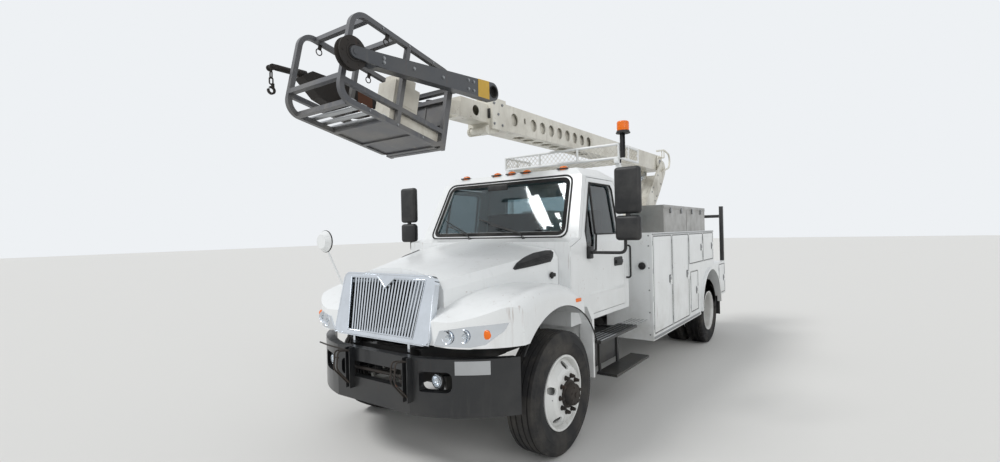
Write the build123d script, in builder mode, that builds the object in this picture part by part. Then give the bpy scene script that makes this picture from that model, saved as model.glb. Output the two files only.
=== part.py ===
from build123d import *
import os
from math import atan2, cos, degrees, hypot, radians, sin

# Cable placer truck. Millimetres, +X forward, +Y left, +Z up, ground at Z = 0.
# Stations along X are counted from the middle of the truck's overall length.

# Clearances
running_gap = 0.3
panel_gap = 6.0

# Wheels and axles
front_axle_x = 2207.6
wheelbase = 4800.0
rear_axle_x = front_axle_x - wheelbase
tyre_radius = 505.0
tyre_width = 280.0
tyre_shoulder_width = 224.0
bead_radius = 285.0
bead_width = 210.0
rim_width = 240.0
rim_flange_radius = 306.0
rim_wall = 10.0
disc_offset = 160.0
disc_wall = 12.0
nave_radius = 185.0
pilot_radius = 110.0
hand_hole_count = 5
hand_hole_radius = 31.0
hand_hole_circle = 226.0
stud_count = 10
stud_circle = 142.9
stud_radius = 11.0
stud_length = 30.0
front_tyre_y = 1040.0
kingpin_y = 960.0
kingpin_radius = 20.0
spindle_radius = 40.0
axle_tube_radius = 60.0
dual_spacing = 2 * disc_offset + disc_wall

# Frame rails
rail_y = 430.0
rail_low_z = 700.0
rail_high_z = 955.0
rail_flange = 80.0
rail_wall = 8.0
frame_front_x = front_axle_x + 900.0
frame_rear_x = front_axle_x - 5860.0
crossmember_offsets = (820.0, -2400.0, -3300.0, -4000.0, -5500.0)
spring_y = 430.0
spring_width = 76.0
eye_pin_radius = 14.0

# Front bumper
bumper_front_x = front_axle_x + 1035.0
bumper_end_x = front_axle_x + 585.0
bumper_half_width = 1130.0
bumper_flat_half_width = 430.0
bumper_low_z = 500.0
bumper_high_z = 925.0
bumper_wall = 70.0

# Hood and fenders
hood_hinge_x = front_axle_x + 920.0
hood_hinge_z = 950.0
hood_ear_y = 342.0
hood_pin_radius = 9.0
hood_front_x = front_axle_x + 780.0
hood_rear_x = front_axle_x - 399.0
hood_low_z = 1010.0
hood_front_half_width = 560.0
hood_rear_half_width = 905.0
hood_front_side_z = 1470.0
hood_front_top_z = 1565.0
hood_rear_side_z = 1665.0
hood_rear_top_z = 1750.0
hood_wall = 12.0
hood_shoulder_drop = 70.0
hood_shoulder_set = 42.0
fender_roll_radius = 110.0
fender_half_width = 1165.0
fender_inner_y = 520.0
fender_crest_x = front_axle_x + 130.0
fender_crest_z = 1410.0
fender_nose_x = front_axle_x + 930.0
fender_nose_z = 1190.0
fender_rear_z = 1275.0
arch_radius = 715.0
grille_top_half_width = 445.0
grille_low_half_width = 385.0
grille_top_z = 1475.0
grille_low_z = 1050.0
grille_top_x = front_axle_x + 850.0
grille_low_x = front_axle_x + 945.0
grille_bar_count = 23
grille_bar_width = 16.0
grille_bar_depth = 18.0
surround_band = 105.0
notch_half_width = 95.0
notch_low_z = 1395.0

# Cab
cab_front_x = front_axle_x - 405.0
cab_rear_x = front_axle_x - 1800.0
cab_half_width = 1025.0
cab_floor_z = 965.0
cab_belt_z = 1720.0
cab_roof_edge_z = 2400.0
cab_roof_edge_half_width = 925.0
cab_roof_z = 2510.0
cab_wall = 50.0
screen_base_x = front_axle_x - 600.0
screen_base_z = 1776.0
screen_top_x = front_axle_x - 900.0
screen_top_z = 2412.0
glass_thickness = 6.0
door_front_x = cab_front_x - 8.0
door_rear_x = front_axle_x - 1690.0
door_low_z = 1015.0
door_axis_x = door_front_x - panel_gap
door_pin_radius = 8.0
door_hinge_heights = ((1330.0, 1390.0), (1600.0, 1660.0))

# Service body
body_front_x = front_axle_x - 2095.0
body_upper_rear_x = front_axle_x - 5075.0
body_rear_x = front_axle_x - 5895.0
body_half_width = 1200.0
rear_outer_tyre_y = body_half_width - 150.0
rear_inner_tyre_y = rear_outer_tyre_y - dual_spacing
body_inner_y = 620.0
body_low_z = 530.0
body_top_z = 1790.0
body_shelf_z = 1235.0
body_wall = 30.0
body_arch_radius = 585.0
deck_low_z = 1040.0
deck_high_z = 1085.0
top_box_front_x = front_axle_x - 2860.0
top_box_rear_x = front_axle_x - 4960.0
top_box_inner_y = 630.0
top_box_outer_y = 1100.0
top_box_high_z = 2150.0

# Lift, all on the truck's middle plane
slew_x = front_axle_x - 4600.0
turntable_low_z = 1560.0
turntable_high_z = 1620.0
turntable_radius = 420.0
riser_pin_z = 1880.0
elbow_x = front_axle_x - 5700.0
boom_z = 3060.0
elbow_z = boom_z - 110.0
riser_half_width = 200.0
riser_depth = 360.0
riser_plate = 22.0
riser_box_share = 0.74
riser_lift_angle = 60.0
cylinder_base_x = slew_x + 430.0
cylinder_base_z = 1800.0
cylinder_lug_along = 1080.0
cylinder_lug_out = 272.0
barrel_radius = 45.0
rod_radius = 24.0
boom_pin_x = front_axle_x - 5620.0
boom_depth = 280.0
boom_half_width = 140.0
boom_wall = 10.0
boom_rear_x = front_axle_x - 5820.0
boom_front_x = front_axle_x - 640.0
collar_front_x = front_axle_x - 440.0
boom_hole_radius = 70.0
boom_hole_pitch = 205.0
boom_hole_count = 8
inner_boom_depth = 190.0
inner_boom_half_width = 100.0
inner_boom_wall = 8.0
inner_boom_length = 5000.0
platform_pin_x = front_axle_x + 150.0
platform_pin_z = boom_z - 40.0

# Platform
basket_pitch = 12.5
basket_length = 1090.0
basket_height = 690.0
basket_half_width = 335.0
basket_tube = 38.0
basket_corner_radius = 130.0
basket_rear_x = front_axle_x + 405.0
basket_mid_z = boom_z - 180.0
sheave_radius = 112.0


def block(x_low, x_high, y_low, y_high, z_low, z_high, mode=Mode.ADD):
    """Box between its low and high corners."""
    with Locations(((x_low + x_high) / 2, (y_low + y_high) / 2, (z_low + z_high) / 2)):
        Box(x_high - x_low, y_high - y_low, z_high - z_low, mode=mode)


def side_prism(points, y_high, y_low, mode=Mode.ADD):
    """Outline in length and height, thick from y_high down to y_low."""
    with BuildSketch(Plane.XZ.offset(-y_high)) as outline:
        with BuildLine():
            Polyline(*points, close=True)
        make_face()
    extrude(outline.sketch, amount=y_high - y_low, mode=mode)


def front_prism(points, x_low, x_high, mode=Mode.ADD):
    """Outline in width and height, thick from x_low to x_high."""
    with BuildSketch(Plane.YZ.offset(x_low)) as outline:
        with BuildLine():
            Polyline(*points, close=True)
        make_face()
    extrude(outline.sketch, amount=x_high - x_low, mode=mode)


def cross_bar(x, z, radius, y_high, y_low, mode=Mode.ADD):
    """Round bar or bore across the truck."""
    with BuildSketch(Plane.XZ.offset(-y_high)) as section:
        with Locations((x, z)):
            Circle(radius)
    extrude(section.sketch, amount=y_high - y_low, mode=mode)


def upright_bar(x, y, radius, z_low, z_high, mode=Mode.ADD):
    """Round bar or bore standing up."""
    with BuildSketch(Plane.XY.offset(z_low)) as section:
        with Locations((x, y)):
            Circle(radius)
    extrude(section.sketch, amount=z_high - z_low, mode=mode)


def turned(x, y, points, mode=Mode.ADD):
    """Ring about a wheel's axle at x: points are (distance from y, radius)."""
    with BuildSketch(Plane.YZ.offset(x)) as section:
        with BuildLine():
            Polyline(*[(y + out, tyre_radius + radius) for out, radius in points], close=True)
        make_face()
    revolve(section.sketch, axis=Axis((x, 0, tyre_radius), (0, 1, 0)), mode=mode)


def capsule_plate(x_1, z_1, x_2, z_2, radius_1, radius_2, y_high, y_low, mode=Mode.ADD):
    """Link plate with a round end about each of two pins."""
    with BuildSketch(Plane.XZ.offset(-y_high)) as link:
        with Locations((x_1, z_1)):
            Circle(radius_1)
        with Locations((x_2, z_2)):
            Circle(radius_2)
        make_hull()
    extrude(link.sketch, amount=y_high - y_low, mode=mode)


def slanted_bar(start, end, radius):
    """Round bar between two points."""
    with BuildLine(Plane.XY, mode=Mode.PRIVATE) as bar_line:
        Line(start, end)
    with BuildSketch(Plane(bar_line.edge() @ 0, z_dir=bar_line.edge() % 0)) as section:
        Circle(radius)
    extrude(section.sketch, amount=bar_line.edge().length)


def hinge_pins(axis_x, axis_y, radius, heights):
    """Fixed hinge pins beside a door opening, each on a leaf at its front edge."""
    for low_z, high_z in heights:
        upright_bar(axis_x, axis_y, radius, low_z, high_z)
        block(axis_x, axis_x + panel_gap + 4, axis_y - radius - 4, axis_y + radius - 3, low_z, high_z)


os.makedirs("parts", exist_ok=True)

# Pieces made for the left side and mirrored for the right
mirrored = {}

# Tyre steps from one sidewall to the other, as distance out and radius
tyre_steps = (
    (-bead_width / 2, rim_flange_radius + 8),
    (-tyre_width / 2, 0.5 * (rim_flange_radius + tyre_radius)),
    (-tyre_width / 2 + 6, tyre_radius - 45),
    (-tyre_shoulder_width / 2, tyre_radius),
    (tyre_shoulder_width / 2, tyre_radius),
    (tyre_width / 2 - 6, tyre_radius - 45),
    (tyre_width / 2, 0.5 * (rim_flange_radius + tyre_radius)),
    (bead_width / 2, rim_flange_radius + 8),
)
tyre_facets = 44


def tyre_ring(x, radius):
    """Many-sided outline of a tyre about its axle, flat side down."""
    with Locations((x, tyre_radius)):
        RegularPolygon(radius, tyre_facets, major_radius=False, rotation=180 / tyre_facets)


def tyre(x, y):
    """Faceted tyre with its bore over the rim's bead seats."""
    with BuildPart() as carcass:
        for out, radius in tyre_steps:
            with BuildSketch(Plane.XZ.offset(-(y + out))):
                tyre_ring(x, radius)
        loft(ruled=True)
        with BuildSketch(Plane.XZ.offset(-(y + tyre_width))) as bore:
            tyre_ring(x, bead_radius + running_gap)
        extrude(bore.sketch, amount=2 * tyre_width, mode=Mode.SUBTRACT)
    return carcass.part


def rim_section(side):
    """Section of a disc wheel whose nave lies outboard (side 1) or inboard (side -1)."""
    half = rim_width / 2
    seat = bead_width / 2 + running_gap
    well = bead_radius - rim_wall
    back = disc_offset - disc_wall
    points = (
        (-half, rim_flange_radius),
        (-seat, rim_flange_radius),
        (-seat, bead_radius),
        (seat, bead_radius),
        (seat, rim_flange_radius),
        (half, rim_flange_radius),
        (half, well + 14),
        (seat - 30, well),
        (disc_offset - 14, nave_radius + 32),
        (disc_offset, nave_radius),
        (disc_offset, pilot_radius - 2),
        (back, pilot_radius - 2),
        (back, nave_radius - 4),
        (back - 14, nave_radius + 24),
        (seat - 62, well),
        (-seat + 20, well),
        (-half, well + 14),
    )
    return [(side * out, radius) for out, radius in points]


def hand_holes(x, y):
    """Ring of round holes through a wheel disc, made from the outer side."""
    with BuildSketch(Plane.XZ.offset(-(y + disc_offset + 20))) as holes:
        with Locations((x, tyre_radius)):
            with PolarLocations(hand_hole_circle, hand_hole_count, start_angle=90):
                Circle(hand_hole_radius)
    extrude(holes.sketch, amount=2 * disc_offset + 40, mode=Mode.SUBTRACT)


def wheel_studs(x, y_nave):
    """Ring of studs standing out of the nave."""
    with BuildSketch(Plane.XZ.offset(-(y_nave + stud_length))) as studs:
        with Locations((x, tyre_radius)):
            with PolarLocations(stud_circle, stud_count):
                RegularPolygon(stud_radius, 6)
    extrude(studs.sketch, amount=stud_length + disc_wall)


# Front wheel with its hub, on the steering spindle
front_hub_section = (
    (-20, spindle_radius + running_gap),
    (-20, 205),
    (75, 205),
    (90, pilot_radius),
    (disc_offset + 6, pilot_radius),
    (disc_offset + 10, 88),
    (disc_offset + 58, 80),
    (disc_offset + 66, 60),
    (disc_offset + 66, 0),
    (disc_offset - 30, 0),
    (disc_offset - 30, spindle_radius + running_gap),
)
with BuildPart() as front_wheel:
    turned(front_axle_x, front_tyre_y, rim_section(1))
    hand_holes(front_axle_x, front_tyre_y)
    turned(front_axle_x, front_tyre_y, front_hub_section)
    wheel_studs(front_axle_x, front_tyre_y + disc_offset)
mirrored["front_wheel"] = front_wheel

with BuildPart() as front_tyre:
    add(tyre(front_axle_x, front_tyre_y))
mirrored["front_tyre"] = front_tyre

# Rear hub carries the outer and the inner disc wheel
rear_hub_section = (
    (-dual_spacing - 60, axle_tube_radius + running_gap),
    (-dual_spacing - 60, 215),
    (-disc_offset - 60, 215),
    (-disc_offset - 60, pilot_radius),
    (-disc_offset + 60, pilot_radius),
    (-disc_offset + 90, 92),
    (20, 86),
    (30, 60),
    (30, 0),
    (0, 0),
    (0, axle_tube_radius + running_gap),
)
with BuildPart() as rear_wheel:
    turned(rear_axle_x, rear_outer_tyre_y, rim_section(-1))
    hand_holes(rear_axle_x, rear_outer_tyre_y)
    turned(rear_axle_x, rear_inner_tyre_y, rim_section(1))
    turned(rear_axle_x, rear_outer_tyre_y, rear_hub_section)
    wheel_studs(rear_axle_x, rear_outer_tyre_y - disc_offset + disc_wall)
mirrored["rear_wheel"] = rear_wheel

with BuildPart() as rear_tyres:
    for tyre_y in (rear_outer_tyre_y, rear_inner_tyre_y):
        add(tyre(rear_axle_x, tyre_y))
mirrored["rear_tyres"] = rear_tyres

# Steering knuckle: ears about the kingpin, spindle and steering arm
beam_end_low_z = tyre_radius - 50
beam_end_high_z = tyre_radius + 50
ear_height = 45.0
hub_inner_y = front_tyre_y - 20
knuckle_reach = 45.0
with BuildPart() as knuckle:
    block(front_axle_x - 45, front_axle_x + 45, kingpin_y - 45, hub_inner_y - 4,
          beam_end_low_z - ear_height, beam_end_high_z + ear_height)
    block(front_axle_x - 60, front_axle_x + 60, kingpin_y - 60, kingpin_y + knuckle_reach,
          beam_end_low_z - running_gap, beam_end_high_z + running_gap, mode=Mode.SUBTRACT)
    upright_bar(front_axle_x, kingpin_y, kingpin_radius + running_gap,
                beam_end_low_z - 60, beam_end_high_z + 60, mode=Mode.SUBTRACT)
    cross_bar(front_axle_x, tyre_radius, 62, hub_inner_y - running_gap, kingpin_y + knuckle_reach)
    cross_bar(front_axle_x, tyre_radius, spindle_radius, front_tyre_y + disc_offset - 34, hub_inner_y - 10)
    side_prism(((front_axle_x - 40, beam_end_low_z - ear_height), (front_axle_x - 230, beam_end_low_z - 38),
                (front_axle_x - 230, beam_end_low_z - 10), (front_axle_x - 40, beam_end_low_z - 10)),
               kingpin_y - 8, kingpin_y - 42)
mirrored["knuckle"] = knuckle

# Front axle: drop beam, kingpins and leaf springs
beam_half = 45.0
beam_boss_radius = knuckle_reach - 7
beam_outline = (
    (-kingpin_y, beam_end_low_z), (-kingpin_y + 75, beam_end_low_z), (-620, 365), (620, 365),
    (kingpin_y - 75, beam_end_low_z), (kingpin_y, beam_end_low_z), (kingpin_y, beam_end_high_z),
    (kingpin_y - 75, beam_end_high_z), (620, 470), (-620, 470), (-kingpin_y + 75, beam_end_high_z),
    (-kingpin_y, beam_end_high_z),
)


def leaf_spring(axle_x, half_length, seat_z, eye_z, leaf_height, y):
    """Bowed leaf pack with an eye at each end."""
    with BuildSketch(Plane.XZ.offset(-(y + spring_width / 2))) as leaves:
        with BuildLine():
            ThreePointArc((axle_x - half_length, eye_z), (axle_x, seat_z), (axle_x + half_length, eye_z))
            Line((axle_x + half_length, eye_z), (axle_x + half_length, eye_z + 14))
            ThreePointArc((axle_x + half_length, eye_z + 14), (axle_x, seat_z + leaf_height),
                          (axle_x - half_length, eye_z + 14))
            Line((axle_x - half_length, eye_z + 14), (axle_x - half_length, eye_z))
        make_face()
        with Locations((axle_x - half_length, eye_z + 10), (axle_x + half_length, eye_z + 10)):
            Circle(26)
            Circle(eye_pin_radius + running_gap, mode=Mode.SUBTRACT)
    extrude(leaves.sketch, amount=spring_width)


front_spring_half = 640.0
front_spring_eye_z = 610.0
front_seat_z = 470.0
with BuildPart() as front_axle:
    front_prism(beam_outline, front_axle_x - beam_half, front_axle_x + beam_half)
    for side in (1, -1):
        upright_bar(front_axle_x, side * kingpin_y, beam_boss_radius, beam_end_low_z, beam_end_high_z)
        upright_bar(front_axle_x, side * kingpin_y, kingpin_radius,
                    beam_end_low_z - 50, beam_end_high_z + 50)
        leaf_spring(front_axle_x, front_spring_half, front_seat_z, front_spring_eye_z, 70, side * spring_y)
        block(front_axle_x - 60, front_axle_x + 60, side * spring_y - 60, side * spring_y + 60,
              front_seat_z - 20, front_seat_z + 90)
front_axle.part.label = "front_axle"
export_step(front_axle.part, "parts/front_axle.step")

# Rear axle: housing, final drive, leaf springs and propeller shaft
rear_spring_half = 720.0
rear_seat_z = tyre_radius + 75
rear_eye_z = 640.0
shaft_front_x = front_axle_x - 1560.0
shaft_radius = 50.0
with BuildPart() as rear_axle:
    cross_bar(rear_axle_x, tyre_radius, axle_tube_radius, rear_outer_tyre_y - 10, -rear_outer_tyre_y + 10)
    cross_bar(rear_axle_x, tyre_radius, 75, 480, -480)
    cross_bar(rear_axle_x, tyre_radius, 190, 95, -95)
    with BuildSketch(Plane.YZ.offset(rear_axle_x)) as pinion_nose:
        with Locations((0, tyre_radius)):
            Circle(110)
    extrude(pinion_nose.sketch, amount=330, taper=8)
    with BuildLine(Plane.XZ, mode=Mode.PRIVATE) as shaft_line:
        Line((rear_axle_x + 300, tyre_radius), (shaft_front_x, 790))
    with BuildSketch(Plane(shaft_line.edge() @ 0, z_dir=shaft_line.edge() % 0)) as shaft_section:
        Circle(shaft_radius)
    extrude(shaft_section.sketch, amount=shaft_line.edge().length)
    for side in (1, -1):
        leaf_spring(rear_axle_x, rear_spring_half, rear_seat_z, rear_eye_z, 80, side * spring_y)
        block(rear_axle_x - 80, rear_axle_x + 80, side * spring_y - 60, side * spring_y + 60,
              tyre_radius + 20, rear_seat_z + 100)
rear_axle.part.label = "rear_axle"
export_step(rear_axle.part, "parts/rear_axle.step")

# Frame: two channel rails, crossmembers and spring hangers
rail_outline = (
    (rail_y, rail_low_z), (rail_y, rail_high_z), (rail_y - rail_flange, rail_high_z),
    (rail_y - rail_flange, rail_high_z - rail_wall), (rail_y - rail_wall, rail_high_z - rail_wall),
    (rail_y - rail_wall, rail_low_z + rail_wall), (rail_y - rail_flange, rail_low_z + rail_wall),
    (rail_y - rail_flange, rail_low_z),
)
hanger_stations = (
    (front_axle_x + front_spring_half, front_spring_eye_z),
    (front_axle_x - front_spring_half, front_spring_eye_z),
    (rear_axle_x + rear_spring_half, rear_eye_z),
    (rear_axle_x - rear_spring_half, rear_eye_z),
)
hitch_plate_x = frame_rear_x
hitch_hole_radius = 11.0
hitch_spacing_y = 160.0
hitch_spacing_z = 120.0
hitch_z = 700.0
flap_x = rear_axle_x - 790.0
flap_inner_y = 640.0
flap_outer_y = 1170.0
flap_low_z = 330.0
with BuildPart() as frame:
    front_prism(rail_outline, frame_rear_x, frame_front_x)
    front_prism([(-y, z) for y, z in rail_outline], frame_rear_x, frame_front_x)
    for offset_x in crossmember_offsets:
        block(front_axle_x + offset_x - 40, front_axle_x + offset_x + 40,
              -rail_y + rail_wall, rail_y - rail_wall, rail_low_z + 100, rail_high_z - 30)
    for eye_x, eye_z in hanger_stations:
        for side in (1, -1):
            block(eye_x - 40, eye_x + 40, side * spring_y - 52, side * spring_y + 52,
                  rail_low_z - 12, rail_low_z)
            for edge in (-1, 1):
                side_y = side * spring_y + edge * (spring_width / 2 + 8)
                block(eye_x - 40, eye_x + 40, side_y - 6, side_y + 6, eye_z - 25, rail_low_z - 5)
            cross_bar(eye_x, eye_z + 10, eye_pin_radius, side * spring_y + 52, side * spring_y - 52)
    # Ears that carry the hood's hinge pins
    for side in (1, -1):
        y_low, y_high = sorted((side * (hood_ear_y + running_gap), side * (hood_ear_y + 12)))
        block(frame_front_x - 60, hood_hinge_x + 20, y_low, y_high, rail_high_z - 75, hood_hinge_z + 20)
        pin_low, pin_high = sorted((side * (hood_ear_y - 26), side * (hood_ear_y + 10)))
        cross_bar(hood_hinge_x, hood_hinge_z, hood_pin_radius, pin_high, pin_low)
    # Mud flaps hung behind the rear wheels
    for side in (1, -1):
        for y_in, y_out, z_low, z_high in ((rail_y - rail_flange, rail_y, 636, rail_low_z + 2),
                                           (rail_y - rail_flange, flap_outer_y, 636, 666)):
            y_low, y_high = sorted((side * y_in, side * y_out))
            block(flap_x - 20, flap_x + 20, y_low, y_high, z_low, z_high)
        y_low, y_high = sorted((side * flap_inner_y, side * flap_outer_y))
        block(flap_x - 4, flap_x + 4, y_low, y_high, flap_low_z, 640)
        # Air tank slung under the rail
        with BuildSketch(Plane.YZ.offset(front_axle_x - 3050)) as air_tank:
            with Locations((side * 330, 590)):
                Circle(105)
        extrude(air_tank.sketch, amount=620)
        for strap_x in (front_axle_x - 2950, front_axle_x - 2540):
            block(strap_x - 20, strap_x + 20, side * 390 - 34, side * 390 + 34, 640, rail_low_z + 2)
    # Tow hitch plate across the rear of the rails
    block(hitch_plate_x - 16, hitch_plate_x, -rail_y, rail_y, hitch_z - 110, rail_high_z)
    with BuildSketch(Plane.YZ.offset(hitch_plate_x - 16)) as hitch_holes:
        with Locations((0, hitch_z)):
            with GridLocations(hitch_spacing_y, hitch_spacing_z, 2, 2):
                Circle(hitch_hole_radius)
    extrude(hitch_holes.sketch, amount=16, mode=Mode.SUBTRACT)
frame.part.label = "frame"
export_step(frame.part, "parts/frame.step")

# Engine and gearbox as plain blocks, radiator ahead of them
engine_front_x = front_axle_x + 430.0
engine_rear_x = cab_front_x + 12.0
with BuildPart() as engine:
    block(engine_rear_x, engine_front_x, -300, 300, 640, 1370)
    block(front_axle_x - 1300, engine_rear_x, -200, 200, 650, 940)
    block(front_axle_x - 1540, front_axle_x - 1300, -80, 80, 710, 870)
    block(front_axle_x - 60, front_axle_x + 20, -rail_y + rail_wall, rail_y - rail_wall, 770, 830)
    block(front_axle_x + 560, front_axle_x + 640, -400, 400, rail_high_z, 1440)
engine.part.label = "engine"
export_step(engine.part, "parts/engine.step")

# Swept front bumper with its air opening and fog lamp recesses
bumper_mid_y = 0.5 * (bumper_flat_half_width + bumper_half_width)
bumper_bow = 0.30 * (bumper_front_x - bumper_end_x)


def bumper_outline(inset):
    """Plan outline of the bumper's face, moved back by inset."""
    front = bumper_front_x - inset
    end = bumper_end_x
    half = bumper_half_width - inset
    ThreePointArc((end, half), (front - bumper_bow, bumper_mid_y - 0.6 * inset),
                  (front, bumper_flat_half_width))
    Line((front, bumper_flat_half_width), (front, -bumper_flat_half_width))
    ThreePointArc((front, -bumper_flat_half_width), (front - bumper_bow, -bumper_mid_y + 0.6 * inset),
                  (end, -half))


with BuildPart() as front_bumper:
    with BuildSketch(Plane.XY.offset(bumper_low_z)):
        with BuildLine():
            bumper_outline(0)
            Line((bumper_end_x, -bumper_half_width), (bumper_end_x, -bumper_half_width + bumper_wall))
            bumper_outline(bumper_wall)
            Line((bumper_end_x, bumper_half_width), (bumper_end_x, bumper_half_width - bumper_wall))
        make_face()
    extrude(amount=bumper_high_z - bumper_low_z)
    # Air opening with rounded ends
    with BuildSketch(Plane.YZ.offset(bumper_front_x - 120)) as air_opening:
        with Locations((0, 755)):
            RectangleRounded(760, 130, 40)
    extrude(air_opening.sketch, amount=140, mode=Mode.SUBTRACT)
    with BuildSketch(Plane.YZ.offset(bumper_front_x - 260)) as fog_recess:
        with Locations((620, 755), (-620, 755)):
            RectangleRounded(260, 150, 45)
    extrude(fog_recess.sketch, amount=240, mode=Mode.SUBTRACT)
    # Arms back to the rails
    for side in (1, -1):
        y_low, y_high = sorted((side * (rail_y - 75), side * (rail_y - rail_wall - running_gap)))
        block(frame_front_x - 35, bumper_front_x - bumper_wall + 5, y_low, y_high, 715, 765)
    # Upright brackets bolted to the bumper's face
    for bracket_y in (-240, 430):
        for plate_y in (bracket_y - 25, bracket_y + 25):
            block(bumper_front_x - 6, bumper_front_x + 48, plate_y - 4, plate_y + 4, 600, 930)
        block(bumper_front_x - 6, bumper_front_x + 4, bracket_y - 29, bracket_y + 29, 600, 930)
front_bumper.part.label = "front_bumper"
export_step(front_bumper.part, "parts/front_bumper.step")

# Grille: flared bright surround with an opening of upright bars
surround_outer = (
    (-surround_band - grille_top_half_width, grille_top_z + 45),
    (grille_top_half_width + surround_band, grille_top_z + 45),
    (grille_low_half_width + 185, 1000), (-grille_low_half_width - 185, 1000),
)
surround_inner = (
    (-grille_top_half_width, grille_top_z), (-notch_half_width, grille_top_z), (0, notch_low_z),
    (notch_half_width, grille_top_z), (grille_top_half_width, grille_top_z),
    (grille_low_half_width, grille_low_z), (-grille_low_half_width, grille_low_z),
)
grille_lean = degrees(atan2(grille_low_x - grille_top_x, grille_top_z - grille_low_z))
grille_plane = Plane(origin=(grille_low_x, 0, grille_low_z), x_dir=(0, 1, 0),
                     z_dir=(cos(radians(grille_lean)), 0, sin(radians(grille_lean))))


def on_grille(points):
    """Front-view points measured up the leaning grille plane."""
    return [(y, (z - grille_low_z) / cos(radians(grille_lean))) for y, z in points]


# Hood centre: taper from the cowl to the nose


def hood_section(x, half_width, side_z, top_z, low_z):
    """Crowned cross-section of the hood at one station."""
    with BuildSketch(Plane.YZ.offset(x)) as section:
        with BuildLine():
            Line((-half_width, low_z), (half_width, low_z))
            Line((half_width, low_z), (half_width, side_z - hood_shoulder_drop))
            Line((half_width, side_z - hood_shoulder_drop), (half_width - hood_shoulder_set, side_z))
            ThreePointArc((half_width - hood_shoulder_set, side_z), (0, top_z),
                          (hood_shoulder_set - half_width, side_z))
            Line((hood_shoulder_set - half_width, side_z), (-half_width, side_z - hood_shoulder_drop))
            Line((-half_width, side_z - hood_shoulder_drop), (-half_width, low_z))
        make_face()
    return section.sketch


def hood_centre(inset, rear_x, front_x):
    """Hood centre with every face moved in by inset."""
    with BuildPart() as centre:
        loft([
            hood_section(rear_x, hood_rear_half_width - inset, hood_rear_side_z - inset,
                         hood_rear_top_z - inset, hood_low_z - 60 if inset else hood_low_z),
            hood_section(front_x, hood_front_half_width - inset, hood_front_side_z - inset,
                         hood_front_top_z - inset, hood_low_z - 60 if inset else hood_low_z),
        ], ruled=True)
    return centre.part


def fender_outline(inset):
    """Side outline of a fender: both arcs leave its crest level."""
    nose_x = fender_nose_x - inset
    rear_x = hood_rear_x - min(inset, 1)
    crest = (fender_crest_x, fender_crest_z - inset)
    low_z = hood_low_z - 40 * min(inset, 1)
    with BuildLine() as outline:
        Line((rear_x, low_z), (nose_x, low_z))
        Line((nose_x, low_z), (nose_x, fender_nose_z - inset))
        TangentArc(crest, (nose_x, fender_nose_z - inset), tangent=(1, 0))
        TangentArc(crest, (rear_x, fender_rear_z - inset), tangent=(-1, 0))
        Line((rear_x, fender_rear_z - inset), (rear_x, low_z))
    return outline.line


def fender(side, inset):
    """Crowned fender from the hood side out to the tyre."""
    with BuildPart() as wing:
        far_y = -(fender_half_width - inset) if side > 0 else fender_inner_y + inset
        with BuildSketch(Plane.XZ.offset(far_y)):
            add(fender_outline(inset))
            make_face()
        extrude(amount=fender_half_width - fender_inner_y - 2 * inset)
        outer_y = side * (fender_half_width - inset)
        rolled = [edge for edge in wing.edges().filter_by(GeomType.CIRCLE)
                  if abs(edge.center().Y - outer_y) < 1]
        fillet(rolled, radius=fender_roll_radius - inset)
    return wing.part


# Plan of the nose: flat across the grille, then swept back round the lamps
nose_front_x = front_axle_x + 935.0
nose_flat_half_width = 520.0
nose_bend = (front_axle_x + 825.0, 960.0)
nose_side_x = front_axle_x + 560.0
nose_half_width = fender_half_width + 5


def nose_cut(inset):
    """Upright prism over the swept plan outline."""
    with BuildPart() as plan:
        with BuildSketch(Plane.XY.offset(hood_low_z - 200)):
            with BuildLine():
                Line((hood_rear_x - 5, nose_half_width), (nose_side_x, nose_half_width))
                ThreePointArc((nose_side_x, nose_half_width), nose_bend,
                              (nose_front_x, nose_flat_half_width))
                Line((nose_front_x, nose_flat_half_width), (nose_front_x, -nose_flat_half_width))
                ThreePointArc((nose_front_x, -nose_flat_half_width), (nose_bend[0], -nose_bend[1]),
                              (nose_side_x, -nose_half_width))
                Line((nose_side_x, -nose_half_width), (hood_rear_x - 5, -nose_half_width))
                Line((hood_rear_x - 5, -nose_half_width), (hood_rear_x - 5, nose_half_width))
            make_face()
            if inset:
                offset(amount=-inset)
        extrude(amount=1200)
    return plan.part


# Convex mirror over the right fender
fender_mirror = (front_axle_x + 690.0, -1080.0, 1790.0)

# Headlamp outline in front view, as width and height
lamp_outline = ((600, 1018), (655, 1128), (880, 1168), (1104, 1188), (1080, 1130), (985, 1040), (890, 1018))
lamp_depth = 60.0


def lamp_block(grow):
    """Headlamp openings on both sides, widened by grow."""
    with BuildPart() as lamps:
        with BuildSketch(Plane.YZ.offset(front_axle_x + 450)) as lamp_sketch:
            for side in (1, -1):
                with BuildLine():
                    Polyline(*[(side * y, z) for y, z in lamp_outline], close=True)
                make_face()
            if grow:
                offset(amount=grow)
        extrude(lamp_sketch.sketch, amount=520)
    return lamps.part


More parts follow.
